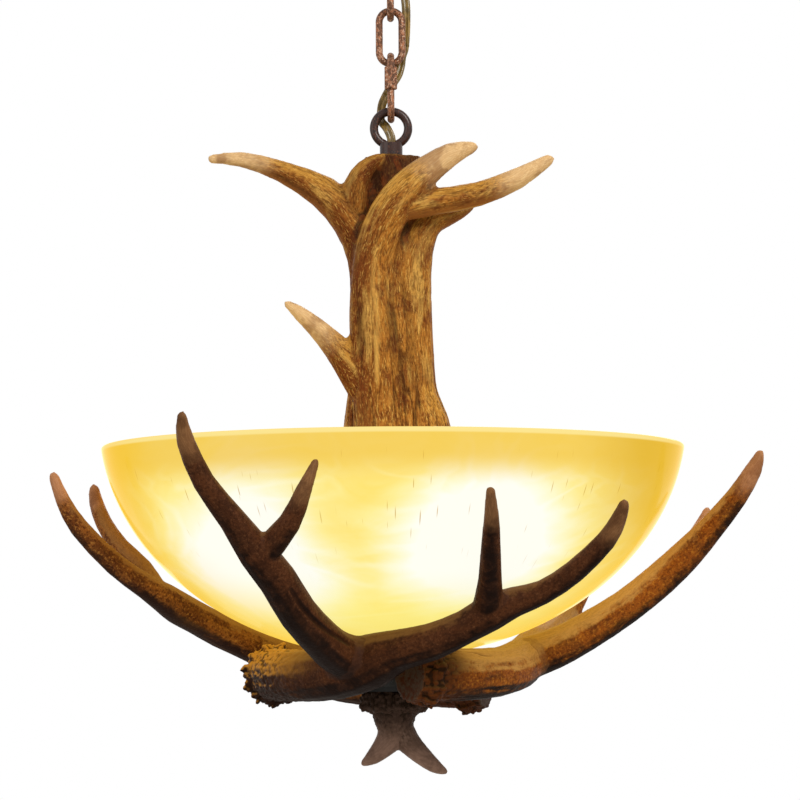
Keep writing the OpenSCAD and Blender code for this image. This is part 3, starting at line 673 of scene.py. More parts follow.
def store(mesh, name, values):
    """Writes a value or a vector for every vertex."""
    kind = "FLOAT" if values.ndim == 1 else "FLOAT_VECTOR"
    layer = mesh.attributes.new(name, kind, "POINT")
    layer.data.foreach_set("value" if kind == "FLOAT" else "vector",
                           values.astype(np.float32).ravel())


def relaxed(points, edges, rounds, steps=(0.5, -0.51)):
    """Points smoothed towards their neighbours, and back a little so that nothing shrinks."""
    a, b = edges[:, 0], edges[:, 1]
    size = len(points)
    count = np.maximum(np.bincount(a, minlength=size) + np.bincount(b, minlength=size), 1)
    for _ in range(rounds):
        for step in steps:
            move = np.stack([np.bincount(a, points[b, i], size) + np.bincount(b, points[a, i], size)
                             for i in range(3)], 1) / count[:, None] - points
            points = points + step * move
    return points


def filled_creases(mesh, points, edges, rounds):
    """The points with every crease filled, and how far that lifts each of them."""
    set_points(mesh, points)
    filled = relaxed(points, edges, rounds, (0.5,))
    return filled, ((filled - points) * vertices_of(mesh, "normal")).sum(1)


def softened(mesh, rounds, fill):
    """The mesh's points with its creases filled softly, and how deep each place lies in one."""
    edges = edges_of(mesh)
    points = relaxed(vertices_of(mesh), edges, rounds)
    for _ in range(2):
        filled, depth = filled_creases(mesh, points, edges, fill)
        share = np.clip(depth / SHALLOW_CREASE, 0, 1)
        points = relaxed(points + share[:, None] * (filled - points), edges, CREASE_ROUNDS)
    depth = filled_creases(mesh, points, edges, fill)[1]
    return points, np.clip(depth / DEEP_CREASE + 0.15, 0, 1)


print("remeshing is ready")

# %% Branches, and where a point lies on them
BRANCH_STEPS = 8
BRANCH_SPACING = 0.37
SLICE = 20000


class Branch:
    """The middle line of a branch with its radii, and a frame that follows it."""

    def __init__(self, stations, number, blunt=False):
        rows = curve_through(stations, BRANCH_STEPS) * MM
        start = np.abs(rows[1] - rows[0])
        self.number = number
        self.blunt = blunt
        self.places, self.radii = rows[:, :3], rows[:, 3]
        self.headings, self.sides, self.ups = frames_along(
            self.places, (1, 0, 0) if start[2] > start[0] else (0, 0, 1))
        steps = np.linalg.norm(np.diff(self.places, axis=0), axis=1)
        self.along = np.concatenate([[0], np.cumsum(steps)])

    def closeness(self, points):
        """The nearest sample of each point, and its distance in radii."""
        nearest = np.empty(len(points), int)
        share = np.empty(len(points))
        for low in range(0, len(points), SLICE):
            some = slice(low, low + SLICE)
            gaps = np.linalg.norm(points[some, None] - self.places[None], axis=2) / self.radii[None]
            nearest[some] = gaps.argmin(1)
            share[some] = gaps.min(1)
        return nearest, share


def straightened(points, branches):
    """Where each point lies on its own branch: place on the straightened branch, number of the
    branch, distance to its tip, and distance from its root."""
    best = np.full(len(points), np.inf)
    place = np.zeros((len(points), 3))
    tip = np.zeros(len(points))
    root = np.zeros(len(points))
    which = np.zeros(len(points), int)
    for branch in branches:
        nearest, share = branch.closeness(points)
        mine = share < best
        off = points - branch.places[nearest]
        across = (off * branch.sides[nearest]).sum(1)
        up = (off * branch.ups[nearest]).sum(1)
        along = branch.along[nearest] + (off * branch.headings[nearest]).sum(1)
        spot = np.stack([across, up, along + BRANCH_SPACING * branch.number], 1)
        place[mine] = spot[mine]
        tip[mine] = 1.0 if branch.blunt else (branch.along[-1] - along)[mine]
        root[mine] = along[mine]
        which[mine] = branch.number
        best[mine] = share[mine]
    return place, which, tip, root


print("branches are ready")

# %% [markdown]
# Furrows are noise that changes fast round a branch and slowly along it. A sharp furrow is the
# valley of such noise where it crosses zero. A burr is a crowd of round bumps of two sizes.

# %% The skin of a casting
# Broad, fine and hairline furrows: each a shift of the seed, a closeness round the branch, a length
FURROWS = [(0, 1.7, 0.05), (7, 4.6, 0.034), (11, 9.0, 0.022)]
VALLEY = 0.22
GRIT = 0.0019
# The crack's depth in millimetres, and how much more painted shade than a furrow it gets
CRACK_DEPTH = 2.1
CRACK_SHADE = 3.0


def furrows(spot, seed, around, length):
    """Noise from -1 to 1 that runs along a branch."""
    turn = unit_rows(spot[:, :2]) * around
    return soft_noise(np.column_stack([turn, spot[:, 2] / length]), seed)


def burr_skin(points, spot, root, middle, heading, reach, knob, seed):
    """The share of burr at each point of a beam, and the lift and shade of the burr's pearls."""
    off = points - middle
    past = off @ heading
    near = np.linalg.norm(off - past[:, None] * heading, axis=1)
    pearl = ramp_down(root, 0.35 * reach, reach)
    knobs = round_bumps(spot / (np.array([1.0, 1.0, 1.4]) * knob * MM), seed + 3)
    grit = round_bumps(spot / GRIT, seed + 5)
    ring = ramp_down(np.abs(past), 0.004, 0.011) * ramp_down(near, 0.030, 0.034)
    pearl_lift = 0.26 * knob * knobs + 0.35 * grit - 0.55
    return pearl, pearl_lift, ring * (1.2 * knobs - 0.3), 1.5 * knobs + 0.4 * grit - 0.8


def carve(piece, branches, material, seed, furrow, tips, rounds, fill=30, contrast=1.0, deep=None,
          hollow=None, burr=None, sawn=None, crack=None):
    """Softens a remeshed casting, carves its skin and stores what its paint needs. Furrow is how
    deep the furrows are in millimetres, and tips is how far a tip's bone reaches. Deep gives the
    share of deep furrows at each point, and hollow reworks the share of crease. Burr is (middle,
    heading, reach, size of its pearls in millimetres), and sawn is (middle, heading) of a flat
    cut end. Crack gives how far a split is open at each point."""
    mesh = piece.data
    points, fold = softened(mesh, rounds, fill)
    normals = vertices_of(mesh, "normal")
    spot, which, tip, root = straightened(points, branches)
    tip_share = ramp_down(tip, 0.25 * tips, tips)
    calm = 1 - 0.85 * tip_share
    broad, fine, hairline = (furrows(spot, seed + shift, around, length)
                             for shift, around, length in FURROWS)
    relief = (0.55 * broad + 0.3 * fine + 0.12 * hairline) * calm * contrast
    lift = furrow * (0.9 * broad + 0.4 * fine + 0.22 * hairline) * calm
    if hollow:
        fold = hollow(points, which, fold)
    if deep:
        share = deep(points)
        valleys = -np.clip(1 - np.abs(fine) / VALLEY, 0, 1)
        lift += share * (1.5 * valleys + 0.5 * fine)
        relief += share * 1.1 * valleys
    pearl = np.zeros(len(points))
    if burr:
        pearl, pearl_lift, ring_lift, pearl_relief = burr_skin(points, spot, root, *burr, seed)
        pearl *= which == 0
        lift += pearl * pearl_lift + ring_lift
        relief = relief * (1 - 0.6 * pearl) + pearl * pearl_relief
    cut_share = np.zeros(len(points))
    if sawn:
        middle, heading = sawn
        cut_share = (ramp_down(normals @ heading, -0.85, -0.55)
                     * ramp_down((points - middle) @ heading, 0.001, 0.003))
        for values in (lift, relief, pearl):
            values *= 1 - cut_share
    if crack:
        open_crack = crack(points)
        lift -= CRACK_DEPTH * open_crack
        relief -= CRACK_SHADE * open_crack
    set_points(mesh, points + MM * lift[:, None] * normals)
    mesh.polygons.foreach_set("use_smooth", [True] * len(mesh.polygons))
    stored = {"straight": spot, "relief": np.clip(relief, -1, 1), "fold": fold, "tip": tip_share,
              "pearl": pearl, "sawn": cut_share}
    for name, values in stored.items():
        store(mesh, name, values)
    mesh.materials.append(material)
    print(piece.name, "has", len(mesh.polygons), "faces")


# %% [markdown]
# ## The column
#
# Three thick branches wind round the stem and part at the top into tines. Near its foot the
# casting has deep furrows, as the root of a tree has. The hollow between the tines is painted in shade.

# %% Carve the column
column_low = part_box("antler_column")[0].z / MM
FRONT_STRAND = [(-6, -14, -6, 20), (-8, -15, 20, 19), (-10, -15, 42, 18.5), (-12, -16, 82, 17.5),
                (-14, -16, 117, 15), (-11, -18, 145, 14.5), (-2, -21, 168, 14), (12, -22, 186, 13),
                (26, -22, 199, 10.5), (43, -24, 210, 8), (57, -26, 214, 4)]
RIGHT_TOP_TINE = [(10, -21, 174, 11), (32, -20, 177, 9.5), (60, -18, 182, 8.5), (88, -18, 193, 7.5),
                  (110, -20, 206, 4)]
LOW_TINE = [(-14, -13, 46, 17), (-26, -13, 61, 14), (-40, -14, 77, 9.5), (-53, -16, 90, 7),
            (-65, -18, 100, 5), (-73, -19, 106, 2.5)]
LEFT_STRAND = [(-14, 8, -6, 20), (-15, 8, 20, 20), (-16, 8, 62, 14), (-16, 6, 112, 13.5),
               (-18, 2, 140, 13.5), (-28, -2, 166, 14), (-48, -4, 186.5, 11.8),
               (-77, -6, 201, 7.4), (-105, -8, 209, 5.4), (-126, -10, 209, 3)]
SMALL_TINE = [(-27, -4, 170, 11), (-25, -8, 189, 9), (-18, -10, 202, 7), (-9, -11, 209, 4)]
RIGHT_STRAND = [(22, 4, -6, 21), (22, 4, 8, 21), (19, 4, 24, 20.5), (14, 4, 42, 18.5),
                (12, 4, 62, 18), (11, 4, 112, 17), (14, 4, 147, 16), (24, 4, 166, 13),
                (38, 8, 172, 9.5), (49, 13, 176, 6.5), (56, 18, 179, 3.5)]
CROWN = [(6, 6, 150, 15), (8, 8, 172, 18), (6, 8, 197, 18), (6, 7, 216, 16)]
TRUNK = [(5, -4, -6, 20), (4, -5, 30, 19), (1, -6, 62, 18), (-1, -6, 95, 16.5), (-1, -6, 125, 13.5),
         (1, -7, 146, 10)]
HOLLOW_FLOOR = [(-10, 4, 140, 13), (-11, 6, 170, 13), (-11, 7, 195, 12), (-9, 7, 213, 10)]
COLUMN = {"front_strand": FRONT_STRAND, "left_strand": LEFT_STRAND, "right_strand": RIGHT_STRAND,
          "right_top_tine": RIGHT_TOP_TINE, "low_tine": LOW_TINE, "small_tine": SMALL_TINE,
          "crown": CROWN, "trunk": TRUNK, "hollow_floor": HOLLOW_FLOOR}
BLUNT = ("right_strand", "small_tine", "crown", "trunk", "hollow_floor")
HOLLOW_SHADE = {"small_tine": 0.42, "crown": 0.75, "hollow_floor": 0.75}


def raised(stations, height):
    """Stations moved to a height under the ceiling."""
    return [(x, y, z + height, radius) for x, y, z, radius in stations]


def over_foot(points):
    """How high points lie over the column's foot, in metres."""
    return points[:, 2] - column_low * MM


def column_depth(points):
    """Deep furrows near the foot, shallow ones higher up."""
    return 0.2 + 0.5 * ramp_down(over_foot(points), 0.02, 0.11)


def column_hollow(points, which, fold):
    """The hollow between the tines lies in shade; lower down the creases stay light."""
    high = 1 - ramp_down(over_foot(points), 0.125, 0.165)
    shade = np.array([HOLLOW_SHADE.get(name, 0) for name in COLUMN])[which]
    return np.maximum(fold * (0.14 + 0.86 * high), shade * high)


column_branches = [Branch(raised(stations, column_low), i, blunt=name in BLUNT)
                   for i, (name, stations) in enumerate(COLUMN.items())]
column = remeshed_copy("column_casting", "antler_column", voxel=1.4 * MM)
carve(column, column_branches, column_paint, seed=21, furrow=0.5, tips=0.06, rounds=10,
      deep=column_depth, hollow=column_hollow)
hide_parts("antler_column")
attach(column, "light")

# %% [markdown]
# ## The three antlers that hold the bowl
#
# Each one starts at a sawn end with a pearled burr, bends round the hub and parts into two long
# arms with a tine each. The same casting serves three times, with its arms bent a little
# differently, as hand-set castings are. The front one has split along its left arm.

# %% The branches of the bowl antlers
BEAM = [(-85, 30, -1, 19), (-82, 8, -1, 18.5), (-76, -18, -1, 17.8), (-60, -50, -1.5, 17.8),
        (-36, -79, 1, 18.3), (-15, -97, 8, 18.8), (3, -110, 15, 14.3), (25, -124, 20.5, 12.8),
        (48, -129, 30.5, 11.5), (64, -133, 39.5, 12.5), (80, -135, 46.5, 10.2), (98, -138, 52.5, 8.2),
        (118, -148, 65.5, 7.6), (138, -162, 85, 6.8), (146, -171, 99, 5.2), (149, -178, 108, 3.5)]
LEFT_ARM = [(-24, -90, 9, 16), (-37, -106, 14, 14.8), (-47, -125, 22.5, 13.5), (-62, -150, 39.5, 13.3),
            (-74, -171, 60, 13), (-88, -186, 78, 12), (-102, -198, 98, 9.2), (-120, -208, 122, 7.5),
            (-131, -217, 147.5, 6), (-133, -222, 163.5, 3)]
LEFT_TINE = [(-84, -184, 76, 10), (-66, -198, 96, 7.5), (-57, -201, 116, 5.5), (-49, -200, 135, 2.5)]
RIGHT_TINE = [(62, -134, 41.5, 11), (63, -155, 60, 8), (63, -180, 82, 6.5), (63, -197, 100, 5),
              (62, -212, 115.5, 3)]
LOW_LEFT_ARM = [(-21, -90, 9, 16), (-36, -106, 16, 14.5), (-47, -125, 27, 13.5), (-62, -150, 45, 12.4),
                (-74, -171, 64, 12), (-88, -186, 82.5, 11), (-102, -197, 100, 9), (-120, -206, 120, 7.5),
                (-130, -214, 139, 6), (-132, -218, 150, 3)]
LOW_LEFT_TINE = [(-84, -184, 79, 9.5), (-74, -199, 90.5, 7.5), (-65, -211, 102, 5.6),
                 (-58, -220, 114, 2.8)]
OUTER_BEAM = BEAM[:3] + [(-60, -50, 0.5, 17.3), (-37, -77, 5, 17.3), (-15, -96, 10, 16),
                         (3, -113, 18, 14.5), (22, -133, 25, 13), (42, -151, 32, 12.5),
                         (60, -168, 41, 12.5), (78, -182, 50, 10.5), (98, -188, 62, 8.5),
                         (118, -190, 76, 7.6), (138, -192, 94, 6.8), (146, -193, 106, 5.2),
                         (149, -194, 114, 3.5)]
OUTER_RIGHT_TINE = [(58, -168, 43, 11), (62, -184, 62, 8), (63, -196, 84, 6.5), (63, -206, 102, 5),
                    (62, -214, 118, 3)]
WIDE_BEAM = BEAM[:4] + [(-37, -78, 3, 17), (-15, -96, 11, 15.5), (3, -111, 20, 12.8),
                        (25, -126, 28.5, 12), (48, -132, 35.5, 11.6), (65, -137, 41, 11.8),
                        (82, -139, 46.5, 10.6), (101, -143, 53, 8.8), (122, -155, 66, 7.8),
                        (144, -171, 89, 6.8), (152, -180, 107, 5.2), (156, -186, 123.5, 3.5)]
WIDE_RIGHT_TINE = [(92, -141, 50, 9.5), (88, -155, 66, 8.6), (80, -178, 83, 7.3), (73, -196, 101, 6.2),
                   (69, -206, 117, 5.2), (66, -210, 127, 3.6)]
BURR = (-84, 18, -1)
BURR_HEADING = (-0.05, 1, 0)
# Each antler: turn and roll on the hub in degrees, reach of its burr and its tips, branches, paint
ANTLERS = {
    "front": (0, 0, 0.125, 0.042, [BEAM, LEFT_ARM, LEFT_TINE, RIGHT_TINE], front_paint),
    "right": (116, 0, 0.045, 0.042, [OUTER_BEAM, LOW_LEFT_ARM, LOW_LEFT_TINE, OUTER_RIGHT_TINE],
              side_paint),
    "left": (-117, -4.5, 0.060, 0.030, [WIDE_BEAM, LEFT_ARM, LEFT_TINE, WIDE_RIGHT_TINE],
             left_paint)}
print("stations of the beam:", len(BEAM))

# %% Carve the three bowl antlers
hub_low, hub_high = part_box("hub_cup")
hub_middle = (hub_low.z + hub_high.z) / 2 / MM
CRACK_LINE = [(-66, -152, 55), (-58, -140, 42), (-47, -130, 31), (-29, -118, 19)]
CRACK_WIDTH = 1.4 * MM
CRACK_BACK = 14 * MM


def set_on_hub(stations, matrix):
    """Stations of the casting, or plain places, turned and set at the height of the hub."""
    rise = Vector((0, 0, hub_middle))
    return [tuple(matrix @ Vector(s[:3]) + rise) + tuple(s[3:]) for s in stations]


def front_crack(points):
    """A split along the inner side of the front antler's left arm, as seen from the front."""
    line = np.array(set_on_hub(curve_through(CRACK_LINE, 12), turn_by(0, 0, 0))) * MM
    gaps = np.linalg.norm((points[:, None] - line[None])[:, :, [0, 2]], axis=2)
    nearest = gaps.argmin(1)
    share = np.sin(np.pi * (nearest + 0.5) / len(line)) ** 0.5
    facing = points[:, 1] < line[nearest, 1] + CRACK_BACK
    return np.exp(-(gaps.min(1) / CRACK_WIDTH) ** 2) * share * facing


def burr_depth(middle):
    """Furrows that run deep near a burr and fade along its beam."""
    def depth(points):
        return 0.04 + 0.75 * ramp_down(np.linalg.norm(points - middle, axis=1), 0.02, 0.09)
    return depth


for number, (side, settings) in enumerate(ANTLERS.items()):
    turn, roll, burr_reach, tip_reach, stations, paint = settings
    matrix = turn_by(0, 0, turn) @ turn_by(0, roll, 0)
    branches = [Branch(set_on_hub(s, matrix), i) for i, s in enumerate(stations)]
    middle, end = np.array(set_on_hub([BURR, BEAM[0][:3]], matrix)) * MM
    heading = -np.array((matrix @ Vector(BURR_HEADING)).normalized())
    casting = remeshed_copy(f"{side}_casting", f"antler_{side}", voxel=1.2 * MM)
    carve(casting, branches, paint, seed=41 + 10 * number, furrow=0.28, tips=tip_reach, rounds=30,
          fill=80, contrast=0.35, deep=burr_depth(middle), burr=(middle, heading, burr_reach, 3.6),
          sawn=(end, heading), crack=front_crack if side == "front" else None)
    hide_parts(f"antler_{side}")
    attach(casting, "light")

# %% [markdown]
# ## The finial
#
# The lowest piece is a short forked antler, burr upwards. It screws onto the pipe's end and
# clamps the whole light together.

# %% Carve the finial
cover_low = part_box("hub_cover")[0].z / MM
FINIAL_STEM = [(0, 0, -0.3, 21), (0, 0, -6, 22), (0, 0, -13, 17), (-0.5, 0, -24, 13.2),
               (-2.5, 0, -32, 10.2), (-9, 0, -40, 7.4), (-15.5, 0, -46, 5.2), (-21, 0, -49.5, 2.6)]
FINIAL_TINE = [(3, 0, -26, 11), (10, 0, -35.5, 8.5), (19, 0, -44.5, 6.8), (28, 0, -52, 5),
               (34.5, 0, -55.5, 2.6)]
finial_burr = np.array((0, 0, (cover_low - 7.5) * MM))
finial_branches = [Branch(raised(s, cover_low), i) for i, s in enumerate([FINIAL_STEM, FINIAL_TINE])]
finial = remeshed_copy("finial_casting", "finial", voxel=0.8 * MM)
carve(finial, finial_branches, finial_paint, seed=91, furrow=0.3, tips=0.045, rounds=8,
      burr=(finial_burr, np.array((0, 0, -1)), 0.040, 2.8))
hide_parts("finial")
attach(finial, "finial")

# %% [markdown]
# ## The glass bowl
#
# The bowl is pressed amber glass with white veils in it, like alabaster, and the lamps inside
# make it glow. Real light through such glass takes long to render and comes out grainy, so the
# glow is painted as emission: brightest where a lamp is close behind the glass, deep amber along
# the rim and the sides. Small dark seeds in the glass hang below its rim. The wall itself is
# turned on a lathe from the same ellipse as in CAD, with a rounded rim.

# %% Paint the glow of the glass
# Each bright spot: its place on the glass, how far it reaches, and how bright it is
GLOW_SPOTS = [((-0.102, -0.132, -0.500), 0.096, 1.0), ((0.062, -0.168, -0.476), 0.092, 1.0),
              ((0.0, 0.185, -0.465), 0.100, 1.0), ((-0.090, -0.168, -0.434), 0.060, 0.3)]
GLOW_CORE = 0.012
GLOW_BASE = 0.40
GLOW_COLOURS = [(0.0, "ECBC34"), (0.14, "F7CF4E"), (0.32, "FDE272"), (0.50, "FEEE98"),
                (0.76, "FEFAD0"), (1.0, "FFFFF4")]
# Where each tint of the painted glow begins and where it is full: heights under the ceiling, then widths
# from the stem
FOOT_TINT = (-0.482, -0.522)
RIM_BAND = (-0.432, -0.409)
RIM_EDGE = (-0.3980, -0.3965)
UPPER_SIDES = (-0.505, -0.435)
LEFT_SIDE = (-0.148, -0.192)
RIGHT_SIDE = (0.110, 0.180)
# Seeds in the glass: how many cells of them there are round it and up it, and the band they keep to
SEEDS_ROUND = 34
SEEDS_UP = 62
SEEDS_BELOW = (-0.500, -0.452)
SEEDS_ABOVE = (-0.404, -0.416)


def ramp(tree, factor, stops):
    """A colour ramp of (place, colour) stops."""
    node = tree.nodes.new("ShaderNodeValToRGB")
    feed(tree, node.inputs[0], factor)
    elements = node.color_ramp.elements
    while len(elements) < len(stops):
        elements.new(0.5)
    for element, (place, colour) in zip(elements, stops):
        element.position = place
        element.color = (*rgb(colour), 1)
    return node.outputs["Color"]


def glow_level(tree, place):
    """How bright the glass is, from the lamps behind it and the veils in it."""
    level = GLOW_BASE
    for spot, reach, share in GLOW_SPOTS:
        gap = vector_calc(tree, "DISTANCE", place, spot)
        level = calc(tree, "ADD", eased(tree, gap, reach, GLOW_CORE, 0, share), level)
    veil = noise(tree, stretched(tree, place, (9, 9, 22)), 1.0, 3.0, 0.55, 1.6)
    wisps = noise(tree, stretched(tree, place, (16, 16, 40)), 1.0, 4.0, 0.6, 2.4)
    level = nudged(tree, nudged(tree, level, veil, 0.24), wisps, 0.18)
    curl = noise(tree, stretched(tree, place, (8, 8, 15)), 1.0, 1.5, 0.5, 3.0)
    curl = calc(tree, "ABSOLUTE", calc(tree, "SUBTRACT", curl, 0.5))
    return calc(tree, "ADD", eased(tree, curl, 0.11, 0.0, 0, 0.08), level)


def seed_mask(tree, across, depth, height):
    """Small upright seeds, scattered in a band below the rim."""
    turn = calc(tree, "ARCTAN2", depth, across)
    flat = add_node(tree, "CombineXYZ", {0: times(tree, turn, SEEDS_ROUND),
                                         1: times(tree, height, SEEDS_UP)})[0]
    cell = add_node(tree, "TexVoronoi", {"Vector": flat, "Scale": 1.0}, voronoi_dimensions="2D")
    chance = parts_of(tree, cell["Color"])
    off = stretched(tree, vector_calc(tree, "SUBTRACT", flat, cell["Position"]), (5.0, 1.3, 0))
    reach = calc(tree, "MULTIPLY_ADD", chance[1], 0.30, vector_calc(tree, "LENGTH", off))
    return times(tree, eased(tree, chance[0], 0.78, 0.82), eased(tree, height, *SEEDS_BELOW),
                 eased(tree, height, *SEEDS_ABOVE), eased(tree, reach, 0.50, 0.16))


def build_bowl_light():
    """The painted glow of the glass, and the colour of its skin, from the place on it."""
    tree, given, out = new_group("bowl_light", {"vector": ["Place"]}, {"color": ["Glow", "Skin"]})
    across, depth, height = parts_of(tree, given["Place"])
    glow = ramp(tree, glow_level(tree, given["Place"]), GLOW_COLOURS)
    glow = over(tree, glow, "FFF48A", eased(tree, height, *FOOT_TINT, 0, 0.65))
    glow = over(tree, glow, "F0C850", eased(tree, height, *RIM_BAND, 0, 0.85))
    upper = eased(tree, height, *UPPER_SIDES, 0, 0.85)
    glow = over(tree, glow, "F2C21C", eased(tree, across, *LEFT_SIDE), upper)
    glow = over(tree, glow, "DEB024", eased(tree, across, *RIGHT_SIDE), upper)
    glow = over(tree, glow, "C08E1E", seed_mask(tree, across, depth, height), 0.7)
    glow = over(tree, glow, "FAE798", eased(tree, height, *RIM_EDGE, 0, 0.8))
    feed(tree, out["Glow"], glow)
    feed(tree, out["Skin"], over(tree, glow, "E8B64C", 0.5))
    return tree


def amber_glass():
    """The bowl's material: mostly a painted glow of the lamps behind it, deeper amber where the wall is
    seen edge on.
    """
    material, tree, shader = new_material("amber_alabaster", roughness=0.14,
                                          emission_strength=0.97, specular_ior_level=0.01)
    lit = use_group(tree, build_bowl_light(), place=place_on_object(tree))
    edge_on = eased(tree, add_node(tree, "LayerWeight")["Facing"], 0.45, 1.0, 0, 0.8)
    set_shader(tree, shader, emission_color=over(tree, lit["Glow"], "F2C230", edge_on),
               base_color=over(tree, lit["Skin"], (0.02, 0.015, 0.006), 0.94))
    return material


glass = amber_glass()
print("glass glows from", len(GLOW_SPOTS), "spots")

# %% Turn the bowl
BOWL_WIDE = 204.5 * MM
BOWL_HIGH = 166 * MM
BOWL_WALL = 4 * MM
BOWL_FOOT = 25 * MM
BOWL_HOLE = 8 * MM
WALL_STEPS = 60
BOWL_SIDES = 224
bowl_low, bowl_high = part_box("glass_bowl")
foot_z = bowl_low.z
rim_z = bowl_high.z - BOWL_WALL / 2
bowl_middle = foot_z + BOWL_HIGH * math.sqrt(1 - (BOWL_FOOT / BOWL_WIDE) ** 2)


def ellipse_wall(inset):
    """Points (radius, height) of the wall from the foot to the rim."""
    wide, high = BOWL_WIDE - inset, BOWL_HIGH - inset
    start = math.acos(BOWL_FOOT / wide)
    stop = math.asin((bowl_middle - rim_z) / high)
    return [(wide * math.cos(a), bowl_middle - high * math.sin(a))
            for a in np.linspace(start, stop, WALL_STEPS)]


def lathe(name, profile, count, material):
    """A closed profile of (radius, height) points turned round the Z axis."""
    angles = np.linspace(0, 2 * np.pi, count, endpoint=False)
    points = [(r * math.cos(a), r * math.sin(a), z) for a in angles for r, z in profile]
    size = len(profile)
    faces = [(i * size + k, ((i + 1) % count) * size + k,
              ((i + 1) % count) * size + (k + 1) % size, i * size + (k + 1) % size)
             for i in range(count) for k in range(size)]
    return mesh_object(name, points, faces, material)


outside = ellipse_wall(0)
inside = ellipse_wall(BOWL_WALL)
rim_r = BOWL_WALL / 2
rim_round = [(outside[-1][0] - rim_r + rim_r * math.cos(a), rim_z + rim_r * math.sin(a))
             for a in np.linspace(0, math.pi, 9)[1:-1]]
bowl_profile = [(BOWL_HOLE, foot_z), *outside, *rim_round, *inside[::-1], (BOWL_HOLE, inside[0][1])]
bowl = lathe("bowl_glass", bowl_profile, BOWL_SIDES, glass)
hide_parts("glass_bowl")
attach(bowl, "light")
print("bowl is", round(2 * outside[-1][0] / MM), "mm wide at the rim")

# %% [markdown]
# ## Chain, loops and other metals
#
# The chain is plain steel, sprayed to look like rusty copper: patches of orange and brown, rubbed
# pale in places, with a pitted surface. The two loops and the canopy are almost black bronze with
# a soft gloss. One group makes such a patina from patches, rubbed places and pits, and each metal
# and the black rubber take their own values.

# %% Finish the metals
PIT_DARK = (0.03, 0.012, 0.008)


def build_patina():
    """Blotches of three colours, with pits."""
    tree, given, out = new_group(
        "patina",
        {"vector": ["Place"], "value": ["Size", "Pits"], "color": ["First", "Second", "Third"]},
        {"color": ["Color"], "value": ["Roughness", "Height"]})
    place = stretched(tree, given["Place"], (1, 1, 0.7))
    big = noise(tree, place, given["Size"], 3.0, 0.6, 0.6)
    small = noise(tree, place, times(tree, given["Size"], 3.2), 3.0, 0.65, 0.2)
    cell = add_node(tree, "TexVoronoi", {"Vector": place, "Scale": times(tree, given["Size"], 2.6)})
    pit = times(tree, eased(tree, cell["Distance"], 0.42, 0.14), eased(tree, small, 0.50, 0.40),
                given["Pits"])
    colour = over(tree, given["First"], given["Second"], eased(tree, big, 0.42, 0.56))
    colour = over(tree, colour, given["Third"], eased(tree, small, 0.50, 0.64),
                  eased(tree, big, 0.56, 0.42), 0.7)
    feed(tree, out["Color"], over(tree, colour, PIT_DARK, pit, 0.8))
    feed(tree, out["Roughness"], calc(tree, "MULTIPLY_ADD", small, 0.35, 0.32))
    feed(tree, out["Height"], calc(tree, "MULTIPLY_ADD", pit, -0.6, small))
    return tree


patina = build_patina()


def patina_material(name, size, first, second, third, pits, bump, metallic, **settings):
    """A metal, or the black rubber, with that patina."""
    material, tree, shader = new_material(name, metallic=metallic, **settings)
    skin = use_group(tree, patina, place=place_on_object(tree), size=size, first=first,
                     second=second, third=third, pits=pits)
    set_shader(tree, shader, base_color=skin["Color"], roughness=skin["Roughness"])
    add_bump(tree, shader, skin["Height"], bump, 0.6 * MM)
    return material


def finish_with(material, *nodes):
    """Gives CAD nodes a material in every slot."""
    for name in nodes:
        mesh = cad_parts[name].data
        mesh.materials.clear()
        mesh.materials.append(material)
        mesh.polygons.foreach_set("material_index", [0] * len(mesh.polygons))


finish_with(patina_material("chain_copper", 430, "985C38", "5C3820", "E0D0B8", pits=1.0, bump=0.5,
                            metallic=0.35),
            "top_link", "middle_link", "quick_link", "quick_link_sleeve")
finish_with(patina_material("dark_bronze", 300, "1E0F0A", "34190F", "6E4230", pits=0.3, bump=0.2,
                            metallic=0.0, specular_ior_level=0.18, coat_weight=0.35,
                            coat_roughness=0.14),
            "canopy_loop", "canopy", "screw_collar", "fixture_loop")
finish_with(patina_material("zinc_steel", 160, "A9A9A6", "B8B8B4", "C6C6C2", pits=0.1, bump=0.08,
                            metallic=0.9),
            "crossbar", "centre_pipe", "column_washer", "socket_cluster", "cluster_cover",
            "clamp_washer", "antler_screws")
finish_with(patina_material("brass_finish", 200, "B9924B", "C6A15A", "D8BA7A", pits=0.1, bump=0.08,
                            metallic=0.9),
            "nipple", "nipple_nuts", "cluster_nut", "clamp_nut", "hub_nut", "finial_insert")
finish_with(patina_material("hub_steel", 220, "2A2A2C", "343436", "4A4A4C", pits=0.2, bump=0.15,
                            metallic=0.5), "hub_cup")
finish_with(patina_material("hub_cover", 220, "0D0D0E", "131314", "1C1C1D", pits=0.2, bump=0.1,
                            metallic=0.2), "hub_cover")
finish_with(patina_material("green_screw", 300, "2F6B3A", "37773F", "5B9463", pits=0.2, bump=0.1,
                            metallic=0.4), "ground_screw")
finish_with(patina_material("black_rubber", 260, "101010", "171717", "232323", pits=0.4, bump=0.2,
                            metallic=0.0), "upper_gasket", "lower_gasket")
print("metals are finished")

# %% [markdown]
# The flex is clear plastic over copper strands. From a little way off both melt into one brown and
# yellow skin with fine lines along it, so that is what is painted, under a thin gloss.

# %% Finish the flex


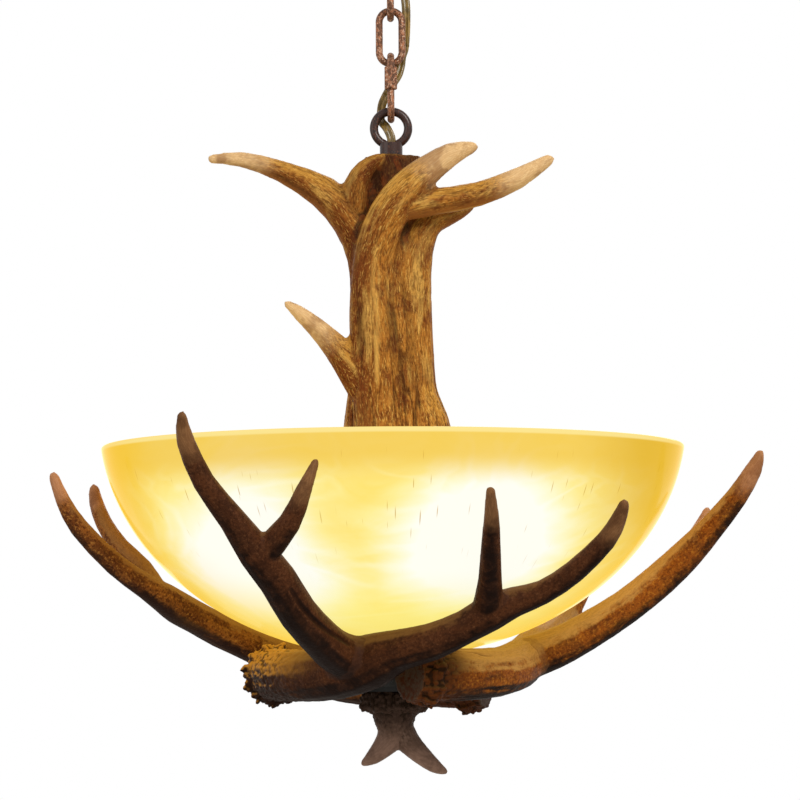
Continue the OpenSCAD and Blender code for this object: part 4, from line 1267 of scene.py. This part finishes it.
def clear_flex():
    """Copper strands as they look through cloudy insulation."""
    material, tree, shader = new_material("clear_flex", roughness=0.22, coat_weight=0.15,
                                          coat_roughness=0.1, specular_ior_level=0.3)
    spot = place_on_object(tree)
    strands = noise(tree, stretched(tree, spot, (900, 900, 160)), 1.0, 2.0, 0.5, 0.5)
    cloudy = noise(tree, spot, 90, 2.0)
    colour = over(tree, "6E5828", "9A7C40", eased(tree, strands, 0.4, 0.62))
    colour = over(tree, colour, "4C4226", eased(tree, cloudy, 0.4, 0.6, 0, 0.5))
    set_shader(tree, shader, base_color=colour)
    add_bump(tree, shader, strands, 0.15, 0.4 * MM)
    return material


flex_finish = clear_flex()
for stretch in flex_pieces:
    stretch.data.materials.append(flex_finish)
print("flex is finished")

# %% [markdown]
# ## Lamp holders and bulbs
#
# The holders are glazed ceramic, the bulbs frosted globes on pressed aluminium caps. They only
# show from above, over the rim.

# %% Finish the sockets and bulbs
CAP_RINGS = 1750


def glazed_ceramic():
    """White ceramic under a clear glaze."""
    material, tree, shader = new_material("holder_ceramic", roughness=0.28, coat_weight=0.5,
                                          coat_roughness=0.1)
    glaze = noise(tree, place_on_object(tree), 60, 3.0)
    colour = over(tree, "E9E3D5", "DAD2C0", eased(tree, glaze, 0.35, 0.65))
    set_shader(tree, shader, base_color=colour)
    add_bump(tree, shader, glaze, 0.06, 0.5 * MM)
    return material


def cap_metal():
    """Pressed aluminium with rings for a thread."""
    material, tree, shader = new_material("bulb_cap_metal", metallic=0.95, roughness=0.3)
    level = stretched(tree, place_on_object(tree), (1, 1, 0))
    turns = calc(tree, "SINE", times(tree, vector_calc(tree, "LENGTH", level), CAP_RINGS))
    colour = over(tree, "8E8E8A", "C4C4C0", eased(tree, turns, -0.6, 0.8))
    set_shader(tree, shader, base_color=colour)
    add_bump(tree, shader, turns, 0.5, 0.8 * MM)
    return material


def lit_frost():
    """A frosted bulb that is switched on."""
    material, tree, shader = new_material("frosted_glass", roughness=0.35, emission_strength=1.0)
    fog = noise(tree, place_on_object(tree), 40, 2.0)
    set_shader(tree, shader, emission_color=over(tree, "FFF4D2", "FFFCEE", fog),
               base_color=over(tree, "F4E6C2", "FFF6E0", fog))
    return material


SOCKET_FINISHES = {"lamp_holder": glazed_ceramic(), "bulb_cap": cap_metal(), "bulb_glass": lit_frost()}
for piece, finish in SOCKET_FINISHES.items():
    finish_with(finish, *(f"{piece}_{k}" for k in (1, 2, 3)))
print("sockets and bulbs are finished")
